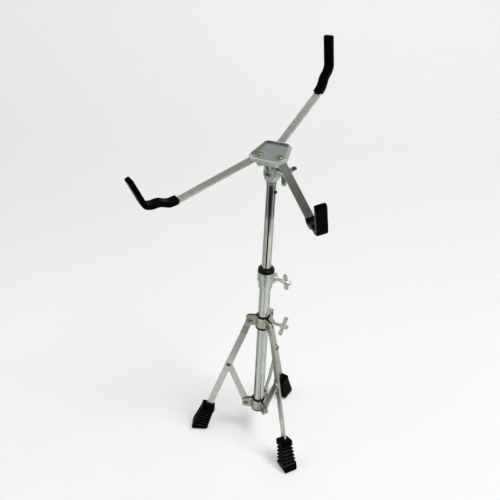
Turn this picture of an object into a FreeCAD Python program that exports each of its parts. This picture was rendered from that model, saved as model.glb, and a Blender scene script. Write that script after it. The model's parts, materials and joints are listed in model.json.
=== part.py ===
import FreeCAD, Part
import math
import os
import re

import Sketcher

# Snare drum stand: a folding tripod, a height tube and a tilting three-armed basket.
# Origin: on the floor, on the axis of the stand pipe. +Z up, the left leg points along -X.
# Lengths in millimetres, angles in degrees.

SIZES = {
    # Fits shared by all pieces
    "running_fit": 0.05,
    "seat_fit": 0.05,
    "side_gap": 0.3,
    "cut_overrun": 2.0,
    # Stand pipe and height tube
    "pipe_outer": 18.0,
    "pipe_wall": 1.25,
    "pipe_foot": 47.0,
    "pipe_length": 273.0,
    "tube_outer": 15.0,
    "tube_wall": 1.2,
    "tube_foot": 180.0,
    "tube_length": 311.9,
    # Height clamp on top of the pipe
    "clamp_sleeve_outer": 22.3,
    "clamp_sleeve_length": 16.5,
    "clamp_taper_length": 4.0,
    "clamp_lip": 0.6,
    "clamp_band_outer": 26.8,
    "clamp_band_height": 16.0,
    "clamp_boss_reach": 17.5,
    "clamp_boss_width": 10.5,
    "clamp_boss_height": 14.5,
    "bush_spigot_outer": 21.6,
    "bush_outer": 26.0,
    "bush_flange": 5.5,
    "bush_chamfer": 1.6,
    # Wing screws of the clamp and of the sliding collar
    "clamp_screw_side": -30.0,
    "clamp_blade_turn": 14.0,
    "screw_outer": 5.0,
    "wing_hub_start": 30.0,
    "wing_hub_length": 13.0,
    "wing_hub_outer": 7.0,
    "wing_span": 32.0,
    "wing_blade_root": 5.0,
    "wing_blade_width": 7.5,
    "wing_blade_round": 2.8,
    "wing_blade_set": 1.5,
    "wing_thickness": 2.2,
    # Leg brackets: three pressed segments round a plastic sleeve
    "bracket_height": 18.0,
    "bracket_sheet": 1.8,
    "bracket_wrap": 45.0,
    "bracket_bend": 1.2,
    "ear_reach": 28.0,
    "ear_round": 6.0,
    "sleeve_outer": 22.0,
    "sleeve_lip": 5.0,
    "sleeve_stand": 1.0,
    "collar_screw_side": -24.0,
    "collar_blade_turn": -55.0,
    "collar_nut_width": 8.0,
    "collar_nut_reach": 19.0,
    # Tripod linkage
    "collar_pivot": 240.5,
    "lower_pivot": 61.5,
    "pivot_radius": 21.4,
    "leg_lean": 18.7,
    "leg_knee": 101.0,
    "leg_width": 11.0,
    "leg_thickness": 3.0,
    "leg_end": 6.0,
    "leg_end_round": 5.0,
    "brace_width": 10.5,
    "brace_thickness": 2.5,
    "joggle_start": 15.0,
    "joggle_run": 15.0,
    "joggle_round": 10.0,
    "knee_play": 1.1,
    "knee_side_play": 0.35,
    "knee_slot_round": 1.0,
    # Rivets of the linkage
    "rivet_outer": 4.0,
    "rivet_stand": 1.3,
    # Ribbed rubber feet
    "foot_top_gap": 201.0,
    "foot_top_depth": 22.5,
    "foot_bottom_depth": 26.5,
    "foot_top_width": 20.0,
    "foot_bottom_width": 24.0,
    "foot_cap": 10.0,
    "foot_rib_pitch": 6.4,
    "foot_rib_depth": 2.0,
    "foot_socket": 42.0,
    "foot_toe_round": 4.0,
    # Tilter
    "tilt_rise": 17.5,
    "tilt_side": -40.8,
    "tilt_angle": 16.8,
    "plate_twist": 13.2,
    "ferrule_outer": 16.4,
    "ferrule_height": 6.0,
    "yoke_half_width": 9.2,
    "yoke_slot_half": 6.3,
    "yoke_round": 8.8,
    "cheek_round_share": 0.99,
    "yoke_neck_depth": 8.4,
    "yoke_neck_half": 7.2,
    "yoke_spigot_length": 34.0,
    "set_screw_drop": 16.5,
    "set_screw_side": -38.0,
    "set_screw_outer": 3.0,
    "set_screw_head": 5.4,
    "set_screw_head_height": 1.9,
    "tongue_leg": 3.0,
    "tongue_round": 7.4,
    "tongue_web": 2.5,
    "tongue_top_half": 10.0,
    "tilt_bolt_outer": 6.0,
    "tilt_head_outer": 11.0,
    "tilt_head_height": 3.6,
    "tilt_head_chamfer": 1.2,
    "tilt_bolt_tail": 20.0,
    "tilt_washer_outer": 12.0,
    "tilt_washer": 1.5,
    "nut_hub_outer": 11.0,
    "nut_hub_length": 15.0,
    "nut_wing_span": 33.0,
    "nut_wing_start": 10.0,
    "nut_wing_sweep": 12.0,
    "nut_wing_width": 8.5,
    "nut_wing_round": 2.6,
    "nut_wing_turn": -38.0,
    # Basket plates
    "arm_plane": 22.7,
    "tray_floor_height": 15.6,
    "plate_sheet": 1.6,
    "plate_wall": 4.2,
    "plate_rim": 1.6,
    "plate_draft": 32.0,
    "plate_corner": 5.0,
    "plate_front": 19.4,
    "plate_front_half": 21.0,
    "plate_side_front": 7.0,
    "plate_half": 30.8,
    "plate_shoulder": 25.3,
    "plate_shoulder_half": 22.5,
    "plate_back": 30.6,
    "plate_back_half": 16.5,
    "tray_inset": 5.5,
    "tray_draft": 8.0,
    # Arm pivots
    "pivot_spacing": 33.0,
    "pivot_set": 2.0,
    "pivot_bolt_outer": 6.0,
    "pivot_head_outer": 10.0,
    "pivot_head_height": 1.8,
    "pivot_nut_across": 9.4,
    "pivot_nut_height": 6.2,
    "pivot_disc_outer": 10.8,
    "pivot_disc": 1.6,
    # Basket arms
    "arm_width": 11.4,
    "arm_thickness": 3.5,
    "arm_root": 6.6,
    "arm_root_round": 5.2,
    "arm_reach": 136.6,
    "arm_bend": 9.0,
    "left_arm_turn": -117.6,
    "right_arm_turn": -47.0,
    "fixed_arm_turn": 90.0,
    "fixed_arm_set": 27.4,
    "fixed_arm_root": 38.0,
    "seat_rise": 22.7,
    "seat_length": 50.0,
    "hook_rise": 80.1,
    "hook_length": 50.0,
    "hook_core_gap": 6.0,
    # Rubber arm sleeves
    "grip_width": 15.0,
    "grip_half": 4.3,
    "grip_wave": 1.5,
    "grip_round": 16.0,
    "grip_tip_round": 3.0,
    "grip_heel_round": 6.0,
}

LEG_TURNS = {"left": 180.0, "front": 300.0, "back": 60.0}
LEG_COUNT = len(LEG_TURNS)
HALF_GAP = 180.0 / LEG_COUNT
FOOT_RIBS = 5
# Crests (1) and troughs (-1) of the arm sleeves, at shares of the seat
WAVE_SHARES = {0.0: 1, 0.25: -1, 0.58: 1, 0.84: -1}

doc = FreeCAD.newDocument("snare_stand")
sheet = doc.addObject("Spreadsheet::Sheet", "Sizes")
for row, (alias, number) in enumerate(SIZES.items(), start=1):
    sheet.set(f"A{row}", alias)
    sheet.set(f"B{row}", str(number))
    sheet.setAlias(f"B{row}", alias)
doc.recompute()

# Sub-parts in the order in which they are built, each written to its own file
pieces = []


def formula(text):
    """Turn the size names in a formula into references to the sheet."""
    return re.sub(r"[a-z_]+", lambda word: f"Sizes.{word[0]}" if word[0] in SIZES else word[0], text)


def value(text):
    """Work out a formula in millimetres or degrees."""
    result = sheet.evalExpression(formula(text))
    return float(getattr(result, "Value", result))


def bind(obj, prop, text):
    """Tie a property of an object to a formula on the sheet."""
    obj.setExpression(prop, formula(text))


def keep(obj, label, placement=None):
    """Name a finished sub-part, set it in its place and list it for writing."""
    obj.Label = label
    if placement is not None:
        obj.Placement = placement
    pieces.append(obj)
    return obj


def new_body(label):
    """Start an empty body."""
    return doc.addObject("PartDesign::Body", label + "_body")


def add_sketch(body, role, raised=None):
    """Add a sketch on one of the body's own origin planes, raised along its normal."""
    sketch = body.newObject("Sketcher::SketchObject", body.Name + "_sketch")
    support = next(feature for feature in body.Origin.OriginFeatures if feature.Role == role)
    sketch.AttachmentSupport = [(support, "")]
    sketch.MapMode = "FlatFace"
    if raised is not None:
        bind(sketch, "AttachmentOffset.Base.z", raised)
    return sketch


def limit(sketch, kind, text, *places):
    """Add a dimension to a sketch and tie it to a formula."""
    index = sketch.addConstraint(Sketcher.Constraint(kind, *places, value(text)))
    bind(sketch, f"Constraints[{index}]", text)


def pin_point(sketch, geometry, end, corner):
    """Hold one end of a sketch line at a corner measured from the sketch origin."""
    limit(sketch, "DistanceX", corner[0], -1, 1, geometry, end)
    limit(sketch, "DistanceY", corner[1], -1, 1, geometry, end)


def corner_points(corners, index, closed):
    """Return where the rounding of a corner leaves its two lines, and the centre of its arc."""
    here = FreeCAD.Vector(value(corners[index][0]), value(corners[index][1]), 0)
    if len(corners[index]) == 2 or (not closed and index in (0, len(corners) - 1)):
        return here, here, None
    before = corners[index - 1]
    after = corners[(index + 1) % len(corners)]
    back = (FreeCAD.Vector(value(before[0]), value(before[1]), 0) - here).normalize()
    ahead = (FreeCAD.Vector(value(after[0]), value(after[1]), 0) - here).normalize()
    half = back.getAngle(ahead) / 2
    radius = value(corners[index][2])
    run = radius / math.tan(half)
    centre = here + (back + ahead).normalize() * (radius / math.sin(half))
    return here + back * run, here + ahead * run, centre


def draw(sketch, corners, closed=True):
    """Draw straight lines through corners (x, y) with an arc at each corner (x, y, radius)."""
    count = len(corners)
    spots = [corner_points(corners, index, closed) for index in range(count)]
    lines = []
    for index in range(count if closed else count - 1):
        start = spots[index][1]
        stop = spots[(index + 1) % count][0]
        lines.append(sketch.addGeometry(Part.LineSegment(start, stop)))
    for index, (enter, leave, centre) in enumerate(spots):
        before = lines[index - 1] if closed or index > 0 else None
        after = lines[index] if index < len(lines) else None
        if centre is None:
            if after is None:
                pin_point(sketch, before, 2, corners[index])
                continue
            if before is not None:
                sketch.addConstraint(Sketcher.Constraint("Coincident", before, 2, after, 1))
            pin_point(sketch, after, 1, corners[index])
            continue
        arc = sketch.addGeometry(corner_arc(enter, leave, centre))
        enters_first = sketch.getPoint(arc, 1).isEqual(enter, value("seat_fit"))
        first, last = (1, 2) if enters_first else (2, 1)
        sketch.addConstraint(Sketcher.Constraint("Tangent", before, 2, arc, first))
        sketch.addConstraint(Sketcher.Constraint("Tangent", arc, last, after, 1))
        limit(sketch, "Radius", corners[index][2], arc)
        apex = FreeCAD.Vector(value(corners[index][0]), value(corners[index][1]), 0)
        point = sketch.addGeometry(Part.Point(apex), True)
        sketch.addConstraint(Sketcher.Constraint("PointOnObject", point, 1, before))
        sketch.addConstraint(Sketcher.Constraint("PointOnObject", point, 1, after))
        pin_point(sketch, point, 1, corners[index])


def corner_arc(enter, leave, centre):
    """Return the short arc about a centre between two points, as a sketch arc."""
    normal = FreeCAD.Vector(0, 0, 1)
    circle = Part.Circle(centre, normal, (enter - centre).Length)
    angles = [math.atan2(point.y - centre.y, point.x - centre.x) for point in (enter, leave)]
    if (angles[1] - angles[0]) % (2 * math.pi) > math.pi:
        angles.reverse()
    if angles[1] < angles[0]:
        angles[1] += 2 * math.pi
    return Part.ArcOfCircle(circle, angles[0], angles[1])


def draw_circle(sketch, centre, diameter):
    """Draw a circle about a centre, both given as formulas."""
    spot = FreeCAD.Vector(value(centre[0]), value(centre[1]), 0)
    circle = sketch.addGeometry(Part.Circle(spot, FreeCAD.Vector(0, 0, 1), value(diameter) / 2))
    limit(sketch, "Diameter", diameter, circle)
    pin_point(sketch, circle, 3, centre)


def box_corners(half_x, low_y, high_y, radius=None):
    """Return the corners of an upright rectangle centred on x = 0."""
    sides = [(f"-({half_x})", low_y), (half_x, low_y), (half_x, high_y), (f"-({half_x})", high_y)]
    return [side if radius is None else (*side, radius) for side in sides]


def extrude(body, kind, sketch, length=None, symmetric=False, reverse=False, draft=None):
    """Pad or pocket a sketch; without a length a pocket goes right through."""
    feature = body.newObject(f"PartDesign::{kind}", f"{body.Name}_{kind}")
    feature.Profile = sketch
    feature.SideType = "Symmetric" if symmetric else "One side"
    feature.Reversed = reverse
    if length is None:
        feature.Type = "ThroughAll"
    else:
        bind(feature, "Length", length)
    if draft is not None:
        bind(feature, "TaperAngle", draft)
    return settle(body, feature, kind == "Pocket")


def settle(body, feature, removes):
    """Recompute and make sure that a feature added or removed material."""
    before = 0.0 if body.Shape.isNull() else body.Shape.Volume
    doc.recompute()
    after = body.Shape.Volume
    if removes and not after < before:
        raise ValueError(f"{feature.Name} removed nothing")
    if not removes and not after > before:
        raise ValueError(f"{feature.Name} added nothing")
    return feature


def spin(body, kind, corners):
    """Revolve an outline (radius, height) about the body's Z axis, adding or cutting."""
    sketch = add_sketch(body, "XZ_Plane")
    draw(sketch, corners)
    feature = body.newObject(f"PartDesign::{kind}", f"{body.Name}_{kind}")
    feature.Profile = sketch
    axis = next(item for item in body.Origin.OriginFeatures if item.Role == "Z_Axis")
    feature.ReferenceAxis = (axis, [""])
    return settle(body, feature, kind == "Groove")


def drill(body, role, spots, diameter):
    """Drill round holes right through a body, square to one of its origin planes."""
    sketch = add_sketch(body, role)
    for spot in spots:
        draw_circle(sketch, spot, diameter)
    return extrude(body, "Pocket", sketch, symmetric=True)


def sweep(body, kind, path_corners, half_width, half_thickness, start):
    """Sweep a rectangular section along a path in the body's XZ plane."""
    path = add_sketch(body, "XZ_Plane")
    draw(path, path_corners, closed=False)
    section = add_sketch(body, "YZ_Plane", start)
    draw(section, box_corners(half_width, f"-({half_thickness})", half_thickness))
    feature = body.newObject(f"PartDesign::{kind}", f"{body.Name}_{kind}")
    feature.Profile = section
    feature.Spine = (path, [])
    return settle(body, feature, kind == "SubtractivePipe")


def round_edges(body, radius, wanted):
    """Round the edges that a test picks out."""
    base = body.Tip
    names = [f"Edge{n}" for n, edge in enumerate(base.Shape.Edges, start=1) if wanted(edge)]
    feature = body.newObject("PartDesign::Fillet", body.Name + "_Fillet")
    feature.Base = (base, names)
    bind(feature, "Radius", radius)
    doc.recompute()
    return feature


def runs_along(edge, axis):
    """Tell whether an edge is straight and parallel to an axis."""
    if not isinstance(edge.Curve, Part.Line):
        return False
    return abs(edge.tangentAt(edge.FirstParameter).dot(axis)) > math.cos(math.radians(1))


def turned(label, corners):
    """Make a body by turning one outline."""
    body = new_body(label)
    spin(body, "Revolution", corners)
    return body


def bored(body, radius, height, placement, label):
    """Cut a round hole into a body along the Z axis of a placement."""
    tool = doc.addObject("Part::Cylinder", label + "_drill")
    bind(tool, "Radius", radius)
    bind(tool, "Height", height)
    tool.Placement = placement
    cut = doc.addObject("Part::Cut", label + "_cut")
    cut.Base = body
    cut.Tool = tool
    doc.recompute()
    if not cut.Shape.Volume < body.Shape.Volume:
        raise ValueError(f"{label} removed nothing")
    return cut


def grouped(label, bodies):
    """Join like fasteners into one sub-part of separate solids."""
    group = doc.addObject("Part::Compound", label)
    group.Links = bodies
    return keep(group, label)


def turn_about(axis, angle):
    """Return a rotation about a coordinate axis by an angle in degrees."""
    return FreeCAD.Rotation(FreeCAD.Vector(*axis), angle)


X_AXIS = (1, 0, 0)
Y_AXIS = (0, 1, 0)
Z_AXIS = (0, 0, 1)


def place(x=0.0, y=0.0, z=0.0, *turns):
    """Return a placement at a point, turned by rotations applied from last to first."""
    rotation = FreeCAD.Rotation()
    for one in turns:
        rotation = rotation.multiply(one)
    return FreeCAD.Placement(FreeCAD.Vector(x, y, z), rotation)


# Heights and reaches that several pieces share
PIPE_TOP = "(pipe_foot + pipe_length)"
CLAMP_MIDDLE = f"({PIPE_TOP} + clamp_band_height / 2)"
TUBE_TOP = "(tube_foot + tube_length)"
TILT_HEIGHT = f"({TUBE_TOP} + tilt_rise)"
ARM_TOP = "(arm_plane + arm_thickness / 2 + side_gap)"
ARM_UNDERSIDE = "(arm_plane - arm_thickness / 2 - side_gap)"
EAR_FACE = "(leg_thickness / 2 + side_gap)"
EAR_BACK = f"({EAR_FACE} + bracket_sheet)"
KNEE_GAP = "(side_gap / 2)"
KNEE_RADIUS = "(leg_knee * sin(leg_lean))"
BRACE_RISE = "(collar_pivot - lower_pivot - leg_knee * cos(leg_lean))"
BRACE_LENGTH = f"sqrt(pow({KNEE_RADIUS}; 2) + pow({BRACE_RISE}; 2))"
BRACE_LEAN = f"atan({KNEE_RADIUS} / {BRACE_RISE})"
LEG_SET = f"({KNEE_GAP} + leg_thickness / 2)"
BRACE_SET = f"({KNEE_GAP} + brace_thickness / 2)"

TILT = place(0, 0, value(TILT_HEIGHT), turn_about(Z_AXIS, value("tilt_side")))
HEAD = TILT.multiply(place(0, 0, 0, turn_about(X_AXIS, value("tilt_angle"))))
BASKET = HEAD.multiply(place(0, 0, 0, turn_about(Z_AXIS, value("plate_twist"))))


def build_pipe():
    """The stand pipe that carries everything."""
    bore = "(pipe_outer / 2 - pipe_wall)"
    corners = [(bore, "0"), ("pipe_outer / 2", "0"), ("pipe_outer / 2", "pipe_length"), (bore, "pipe_length")]
    keep(turned("base_tube", corners), "base_tube", place(0, 0, value("pipe_foot")))


def build_clamp():
    """The height clamp: a stepped sleeve with a boss for its wing screw, and its plastic bush."""
    body = new_body("clamp_body")
    boss = add_sketch(body, "YZ_Plane")
    low = "clamp_band_height / 2 - clamp_boss_height / 2"
    high = "clamp_band_height / 2 + clamp_boss_height / 2"
    draw(boss, box_corners("clamp_boss_width / 2", low, high))
    extrude(body, "Pad", boss, "clamp_boss_reach")
    seat = "(pipe_outer / 2 + seat_fit)"
    sleeve = "clamp_sleeve_outer / 2"
    band = "clamp_band_outer / 2"
    bottom = "-clamp_sleeve_length"
    spin(body, "Revolution", [
        ("0", bottom),
        (f"{seat} + clamp_lip", bottom),
        (sleeve, f"{bottom} + clamp_taper_length"),
        (sleeve, "0"),
        (band, "0"),
        (band, "clamp_band_height"),
        ("0", "clamp_band_height"),
    ])
    spigot = "(bush_spigot_outer / 2 + seat_fit)"
    spin(body, "Groove", [
        ("0", f"{bottom} - cut_overrun"),
        (seat, f"{bottom} - cut_overrun"),
        (seat, "0"),
        (spigot, "0"),
        (spigot, "clamp_band_height + cut_overrun"),
        ("0", "clamp_band_height + cut_overrun"),
    ])
    hole = add_sketch(body, "YZ_Plane")
    draw_circle(hole, ("0", "clamp_band_height / 2"), "screw_outer + 2 * running_fit")
    extrude(body, "Pocket", hole, "clamp_boss_reach + cut_overrun", reverse=True)
    top = place(0, 0, value(PIPE_TOP), turn_about(Z_AXIS, value("clamp_screw_side")))
    keep(body, "clamp_body", top)
    bore = "(tube_outer / 2 + running_fit)"
    flange = "clamp_band_height + side_gap"
    bush = turned("clamp_bush", [
        (bore, "side_gap"),
        ("bush_spigot_outer / 2", "side_gap"),
        ("bush_spigot_outer / 2", flange),
        ("bush_outer / 2", flange),
        ("bush_outer / 2", f"{flange} + bush_flange - bush_chamfer"),
        ("bush_outer / 2 - bush_chamfer", f"{flange} + bush_flange"),
        (bore, f"{flange} + bush_flange"),
    ])
    keep(bush, "clamp_bush", top)


def build_wing_screw(name, tip, height):
    """A wing screw that points outwards at a height, with its tip off the axis."""
    label = f"{name}_wing_screw"
    body = new_body(label)
    hub_end = "wing_hub_start + wing_hub_length"
    spin(body, "Revolution", [
        ("0", tip),
        ("screw_outer / 2", tip),
        ("screw_outer / 2", "wing_hub_start"),
        ("wing_hub_outer / 2", "wing_hub_start"),
        ("wing_hub_outer / 2", hub_end),
        ("0", hub_end),
    ])
    blade = add_sketch(body, "XZ_Plane")
    low = "wing_hub_start + wing_blade_set"
    waist = f"{low} + wing_blade_width / 2"
    corners = [
        ("-wing_span / 2", low, "wing_blade_round"),
        ("0", f"{waist} - wing_blade_root / 2", "wing_blade_round"),
        ("wing_span / 2", low, "wing_blade_round"),
        ("wing_span / 2", f"{low} + wing_blade_width", "wing_blade_round"),
        ("0", f"{waist} + wing_blade_root / 2", "wing_blade_round"),
        ("-wing_span / 2", f"{low} + wing_blade_width", "wing_blade_round"),
    ]
    draw(blade, corners)
    extrude(body, "Pad", blade, "wing_thickness", symmetric=True)
    outward = [turn_about(Z_AXIS, value(f"{name}_screw_side")), turn_about(Y_AXIS, 90)]
    spun = turn_about(Z_AXIS, value(f"{name}_blade_turn"))
    keep(body, label, place(0, 0, value(height), *outward, spun))


def ear_corner(face, radius):
    """Return where an ear's face meets the band's tangent at the given radius."""
    along = f"(({radius}) - ({face}) * sin({HALF_GAP} - bracket_wrap)) / cos({HALF_GAP} - bracket_wrap)"
    return ear_point(face, along)


def ear_point(face, along):
    """Return a point at a distance along an ear and at a distance from its leg's plane."""
    x = f"cos({HALF_GAP}) * ({along}) + sin({HALF_GAP}) * ({face})"
    y = f"sin({HALF_GAP}) * ({along}) - cos({HALF_GAP}) * ({face})"
    return x, y


def mirrored(corner):
    """Return a corner on the other side of the bracket segment's own axis."""
    return (corner[0], f"-({corner[1]})", *corner[2:])


def build_bracket(label, centre_turn, height, screw_hole):
    """One pressed bracket segment: a band round the sleeve with an ear at each end."""
    inner = "(sleeve_outer / 2 + seat_fit)"
    outer = f"({inner} + bracket_sheet)"
    wide_bend = "bracket_bend + bracket_sheet"
    half = [
        (f"{outer} / cos(bracket_wrap)", "0", outer),
        ear_corner(EAR_BACK, outer),
        ear_point(EAR_BACK, "ear_reach"),
        ear_point(EAR_FACE, "ear_reach"),
        (*ear_corner(EAR_FACE, inner), wide_bend),
        (f"{inner} / cos(bracket_wrap)", "0", inner),
    ]
    corners = half + [mirrored(corner) for corner in half[-2:0:-1]]
    body = new_body(label)
    sketch = add_sketch(body, "XY_Plane")
    draw(sketch, corners)
    extrude(body, "Pad", sketch, "bracket_height", symmetric=True)
    tip = value("ear_reach") - value("seat_fit")

    def at_ear_tip(edge):
        """Tell whether an edge is a short level one at the end of an ear."""
        middle = edge.CenterOfMass
        level = abs(edge.BoundBox.ZLength) < value("seat_fit")
        return level and math.hypot(middle.x, middle.y) > tip

    round_edges(body, "ear_round", at_ear_tip)
    shape = body
    hole = "rivet_outer / 2 + seat_fit"
    for side in (1, -1):
        turns = [turn_about(Z_AXIS, side * HALF_GAP), turn_about(X_AXIS, 90)]
        drill_at = place(0, 0, 0, turn_about(Z_AXIS, side * HALF_GAP))
        outside = value(f"{EAR_BACK} + cut_overrun")
        start = drill_at.multVec(FreeCAD.Vector(value("pivot_radius"), outside, 0))
        through = f"2 * ({EAR_BACK} + cut_overrun)"
        shape = bored(shape, hole, through, FreeCAD.Placement(start, place(0, 0, 0, *turns).Rotation), label)
    if screw_hole:
        turns = [turn_about(Z_AXIS, value("collar_screw_side") - centre_turn), turn_about(Y_AXIS, 90)]
        reach = "sleeve_outer + bracket_sheet"
        shape = bored(shape, "screw_outer / 2 + running_fit", reach, place(0, 0, 0, *turns), label)
    keep(shape, label, place(0, 0, value(height), turn_about(Z_AXIS, centre_turn)))


def build_sleeve(label, height, bore_fit, screw_hole):
    """The plastic sleeve inside a leg bracket, standing out above and below it."""
    bore = f"(pipe_outer / 2 + {bore_fit})"
    low = "-(bracket_height / 2 + sleeve_lip)"
    high = "bracket_height / 2 + sleeve_stand"
    sleeve = turned(label, [
        (bore, low),
        ("sleeve_outer / 2", low),
        ("sleeve_outer / 2", high),
        (bore, high),
    ])
    shape = sleeve
    if screw_hole:
        turns = [turn_about(Z_AXIS, value("collar_screw_side")), turn_about(Y_AXIS, 90)]
        radius = "screw_outer / 2 + running_fit"
        shape = bored(shape, radius, "sleeve_outer", place(0, 0, 0, *turns), label)
    keep(shape, label, place(0, 0, value(height)))


def rivet_corners(grip_low, grip_high):
    """Return the outline of a rivet that stands out past two heights."""
    low = f"{grip_low} - rivet_stand"
    high = f"{grip_high} + rivet_stand"
    return [("0", low), ("rivet_outer / 2", low), ("rivet_outer / 2", high), ("0", high)]


def leg_frame(turn, radius, height, lean):
    """Return the frame of a strap: X along it, Y across it, Z against the tripod's turning sense."""
    spin_z = turn_about(Z_AXIS, turn)
    start = spin_z.multVec(FreeCAD.Vector(radius, 0, height))
    rotation = spin_z.multiply(turn_about(Y_AXIS, lean)).multiply(turn_about(X_AXIS, 90))
    return FreeCAD.Placement(start, rotation)


def strap_path(far_end, side_set):
    """Return the path of a strap that steps sideways just past its pivot."""
    return [
        ("-leg_end", "0"),
        ("joggle_start", "0", "joggle_round"),
        ("joggle_start + joggle_run", side_set, "joggle_round"),
        (far_end, side_set),
    ]


def at_strap_ends(reach):
    """Return a test for the edges through the thickness at the near end and past a reach."""
    near = -value("leg_end") + value("seat_fit")
    far = value(reach) - value("seat_fit")

    def wanted(edge):
        """Tell whether an edge runs through the thickness at an end."""
        middle = edge.CenterOfMass.x
        return runs_along(edge, FreeCAD.Vector(*Z_AXIS)) and (middle < near or middle > far)

    return wanted


def build_bracket_set(name, height, bore_fit, clamped):
    """A leg bracket: three pressed segments, a plastic sleeve and three hollow rivets."""
    for number, turn in enumerate(LEG_TURNS.values(), start=1):
        centre = (turn + HALF_GAP) % 360
        has_screw = clamped and abs(centre) < HALF_GAP
        build_bracket(f"{name}_bracket_{number}", centre, height, has_screw)
    build_sleeve(f"{name}_sleeve", height, bore_fit, clamped)
    rivets = []
    for leg, turn in LEG_TURNS.items():
        rivet = turned(f"{name}_rivet_{leg}", rivet_corners(f"-{EAR_BACK}", EAR_BACK))
        rivet.Placement = leg_frame(turn, value("pivot_radius"), value(height), 0)
        rivets.append(rivet)
    grouped(f"{name}_rivets", rivets)


def build_collar_nut():
    """The square nut welded on the collar for its wing screw."""
    body = new_body("collar_nut")
    sketch = add_sketch(body, "XY_Plane")
    half = "collar_nut_width / 2"
    draw(sketch, box_corners(half, f"-{half}", half))
    extrude(body, "Pad", sketch, "collar_nut_reach")
    drill(body, "XY_Plane", [("0", "0")], "screw_outer + 2 * running_fit")
    band = doc.addObject("Part::Cylinder", "collar_nut_seat")
    bind(band, "Radius", "sleeve_outer / 2 + seat_fit + bracket_sheet + side_gap")
    bind(band, "Height", "2 * collar_nut_width")
    half_turn = turn_about(X_AXIS, 90)
    band.Placement = place(0, value("collar_nut_width"), 0, half_turn)
    cut = doc.addObject("Part::Cut", "collar_nut_cut")
    cut.Base = body
    cut.Tool = band
    sideways = turn_about(Z_AXIS, value("collar_screw_side"))
    pointing = [sideways, turn_about(Y_AXIS, 90), turn_about(Z_AXIS, 90)]
    keep(cut, "collar_nut", place(0, 0, value("collar_pivot"), *pointing))


def build_leg(name, turn):
    """One leg: a flat strap with a sideways step below its pivot, its knee rivet and its brace."""
    frame = leg_frame(turn, value("pivot_radius"), value("collar_pivot"), 90 - value("leg_lean"))
    reach = "foot_top_gap + foot_socket - seat_fit"
    leg = new_body(f"leg_{name}")
    path = strap_path(reach, f"-{LEG_SET}")
    sweep(leg, "AdditivePipe", path, "leg_width / 2", "leg_thickness / 2", "-leg_end")
    drill(leg, "XY_Plane", [("0", "0"), ("leg_knee", "0")], "rivet_outer + 2 * running_fit")
    round_edges(leg, "leg_end_round", at_strap_ends(f"{reach} + leg_end"))
    keep(leg, f"leg_{name}", frame)
    leg_face = f"({KNEE_GAP} + leg_thickness)"
    brace_face = f"({KNEE_GAP} + brace_thickness + side_gap)"
    rivet = turned(f"knee_rivet_{name}", rivet_corners(f"-{leg_face}", brace_face))
    knee = FreeCAD.Vector(value("leg_knee"), 0, 0)
    keep(rivet, f"knee_rivet_{name}", frame.multiply(FreeCAD.Placement(knee, FreeCAD.Rotation())))
    brace = new_body(f"brace_{name}")
    brace_end = f"{BRACE_LENGTH} + leg_end"
    path = strap_path(brace_end, BRACE_SET)
    sweep(brace, "AdditivePipe", path, "brace_width / 2", "brace_thickness / 2", "-leg_end")
    drill(brace, "XY_Plane", [("0", "0")], "rivet_outer + 2 * running_fit")
    slot = add_sketch(brace, "XY_Plane")
    across = "rivet_outer / 2 + knee_side_play"
    slot_half = "(rivet_outer / 2 + knee_play)"
    draw(slot, [
        (f"{BRACE_LENGTH} - {slot_half}", f"-({across})", "knee_slot_round"),
        (f"{BRACE_LENGTH} + {slot_half}", f"-({across})", "knee_slot_round"),
        (f"{BRACE_LENGTH} + {slot_half}", across, "knee_slot_round"),
        (f"{BRACE_LENGTH} - {slot_half}", across, "knee_slot_round"),
    ])
    extrude(brace, "Pocket", slot, symmetric=True)
    round_edges(brace, "leg_end_round", at_strap_ends(brace_end))
    lean = value(BRACE_LEAN) - 90
    keep(brace, f"brace_{name}", leg_frame(turn, value("pivot_radius"), value("lower_pivot"), lean))


def ribbed_side(top_half, bottom_half):
    """Return one ribbed flank of a foot as (distance along the leg, half size) corners."""
    corners = [("foot_top_gap", top_half), ("foot_top_gap + foot_cap", top_half)]
    for rib in range(FOOT_RIBS):
        start = f"foot_top_gap + foot_cap + {rib} * foot_rib_pitch"
        stop = f"foot_top_gap + foot_cap + {rib + 1} * foot_rib_pitch"
        low = f"{top_half} + (({bottom_half}) - ({top_half})) * {rib} / {FOOT_RIBS} - foot_rib_depth"
        high = f"{top_half} + (({bottom_half}) - ({top_half})) * {rib + 1} / {FOOT_RIBS}"
        corners.append((start, low))
        corners.append((stop, high))
    return corners


def floor_corner(half, radius=None):
    """Return where a foot's flank at a signed half depth meets the floor."""
    along = f"(collar_pivot + ({half}) * sin(leg_lean)) / cos(leg_lean)"
    return (along, half) if radius is None else (along, half, radius)


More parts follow.
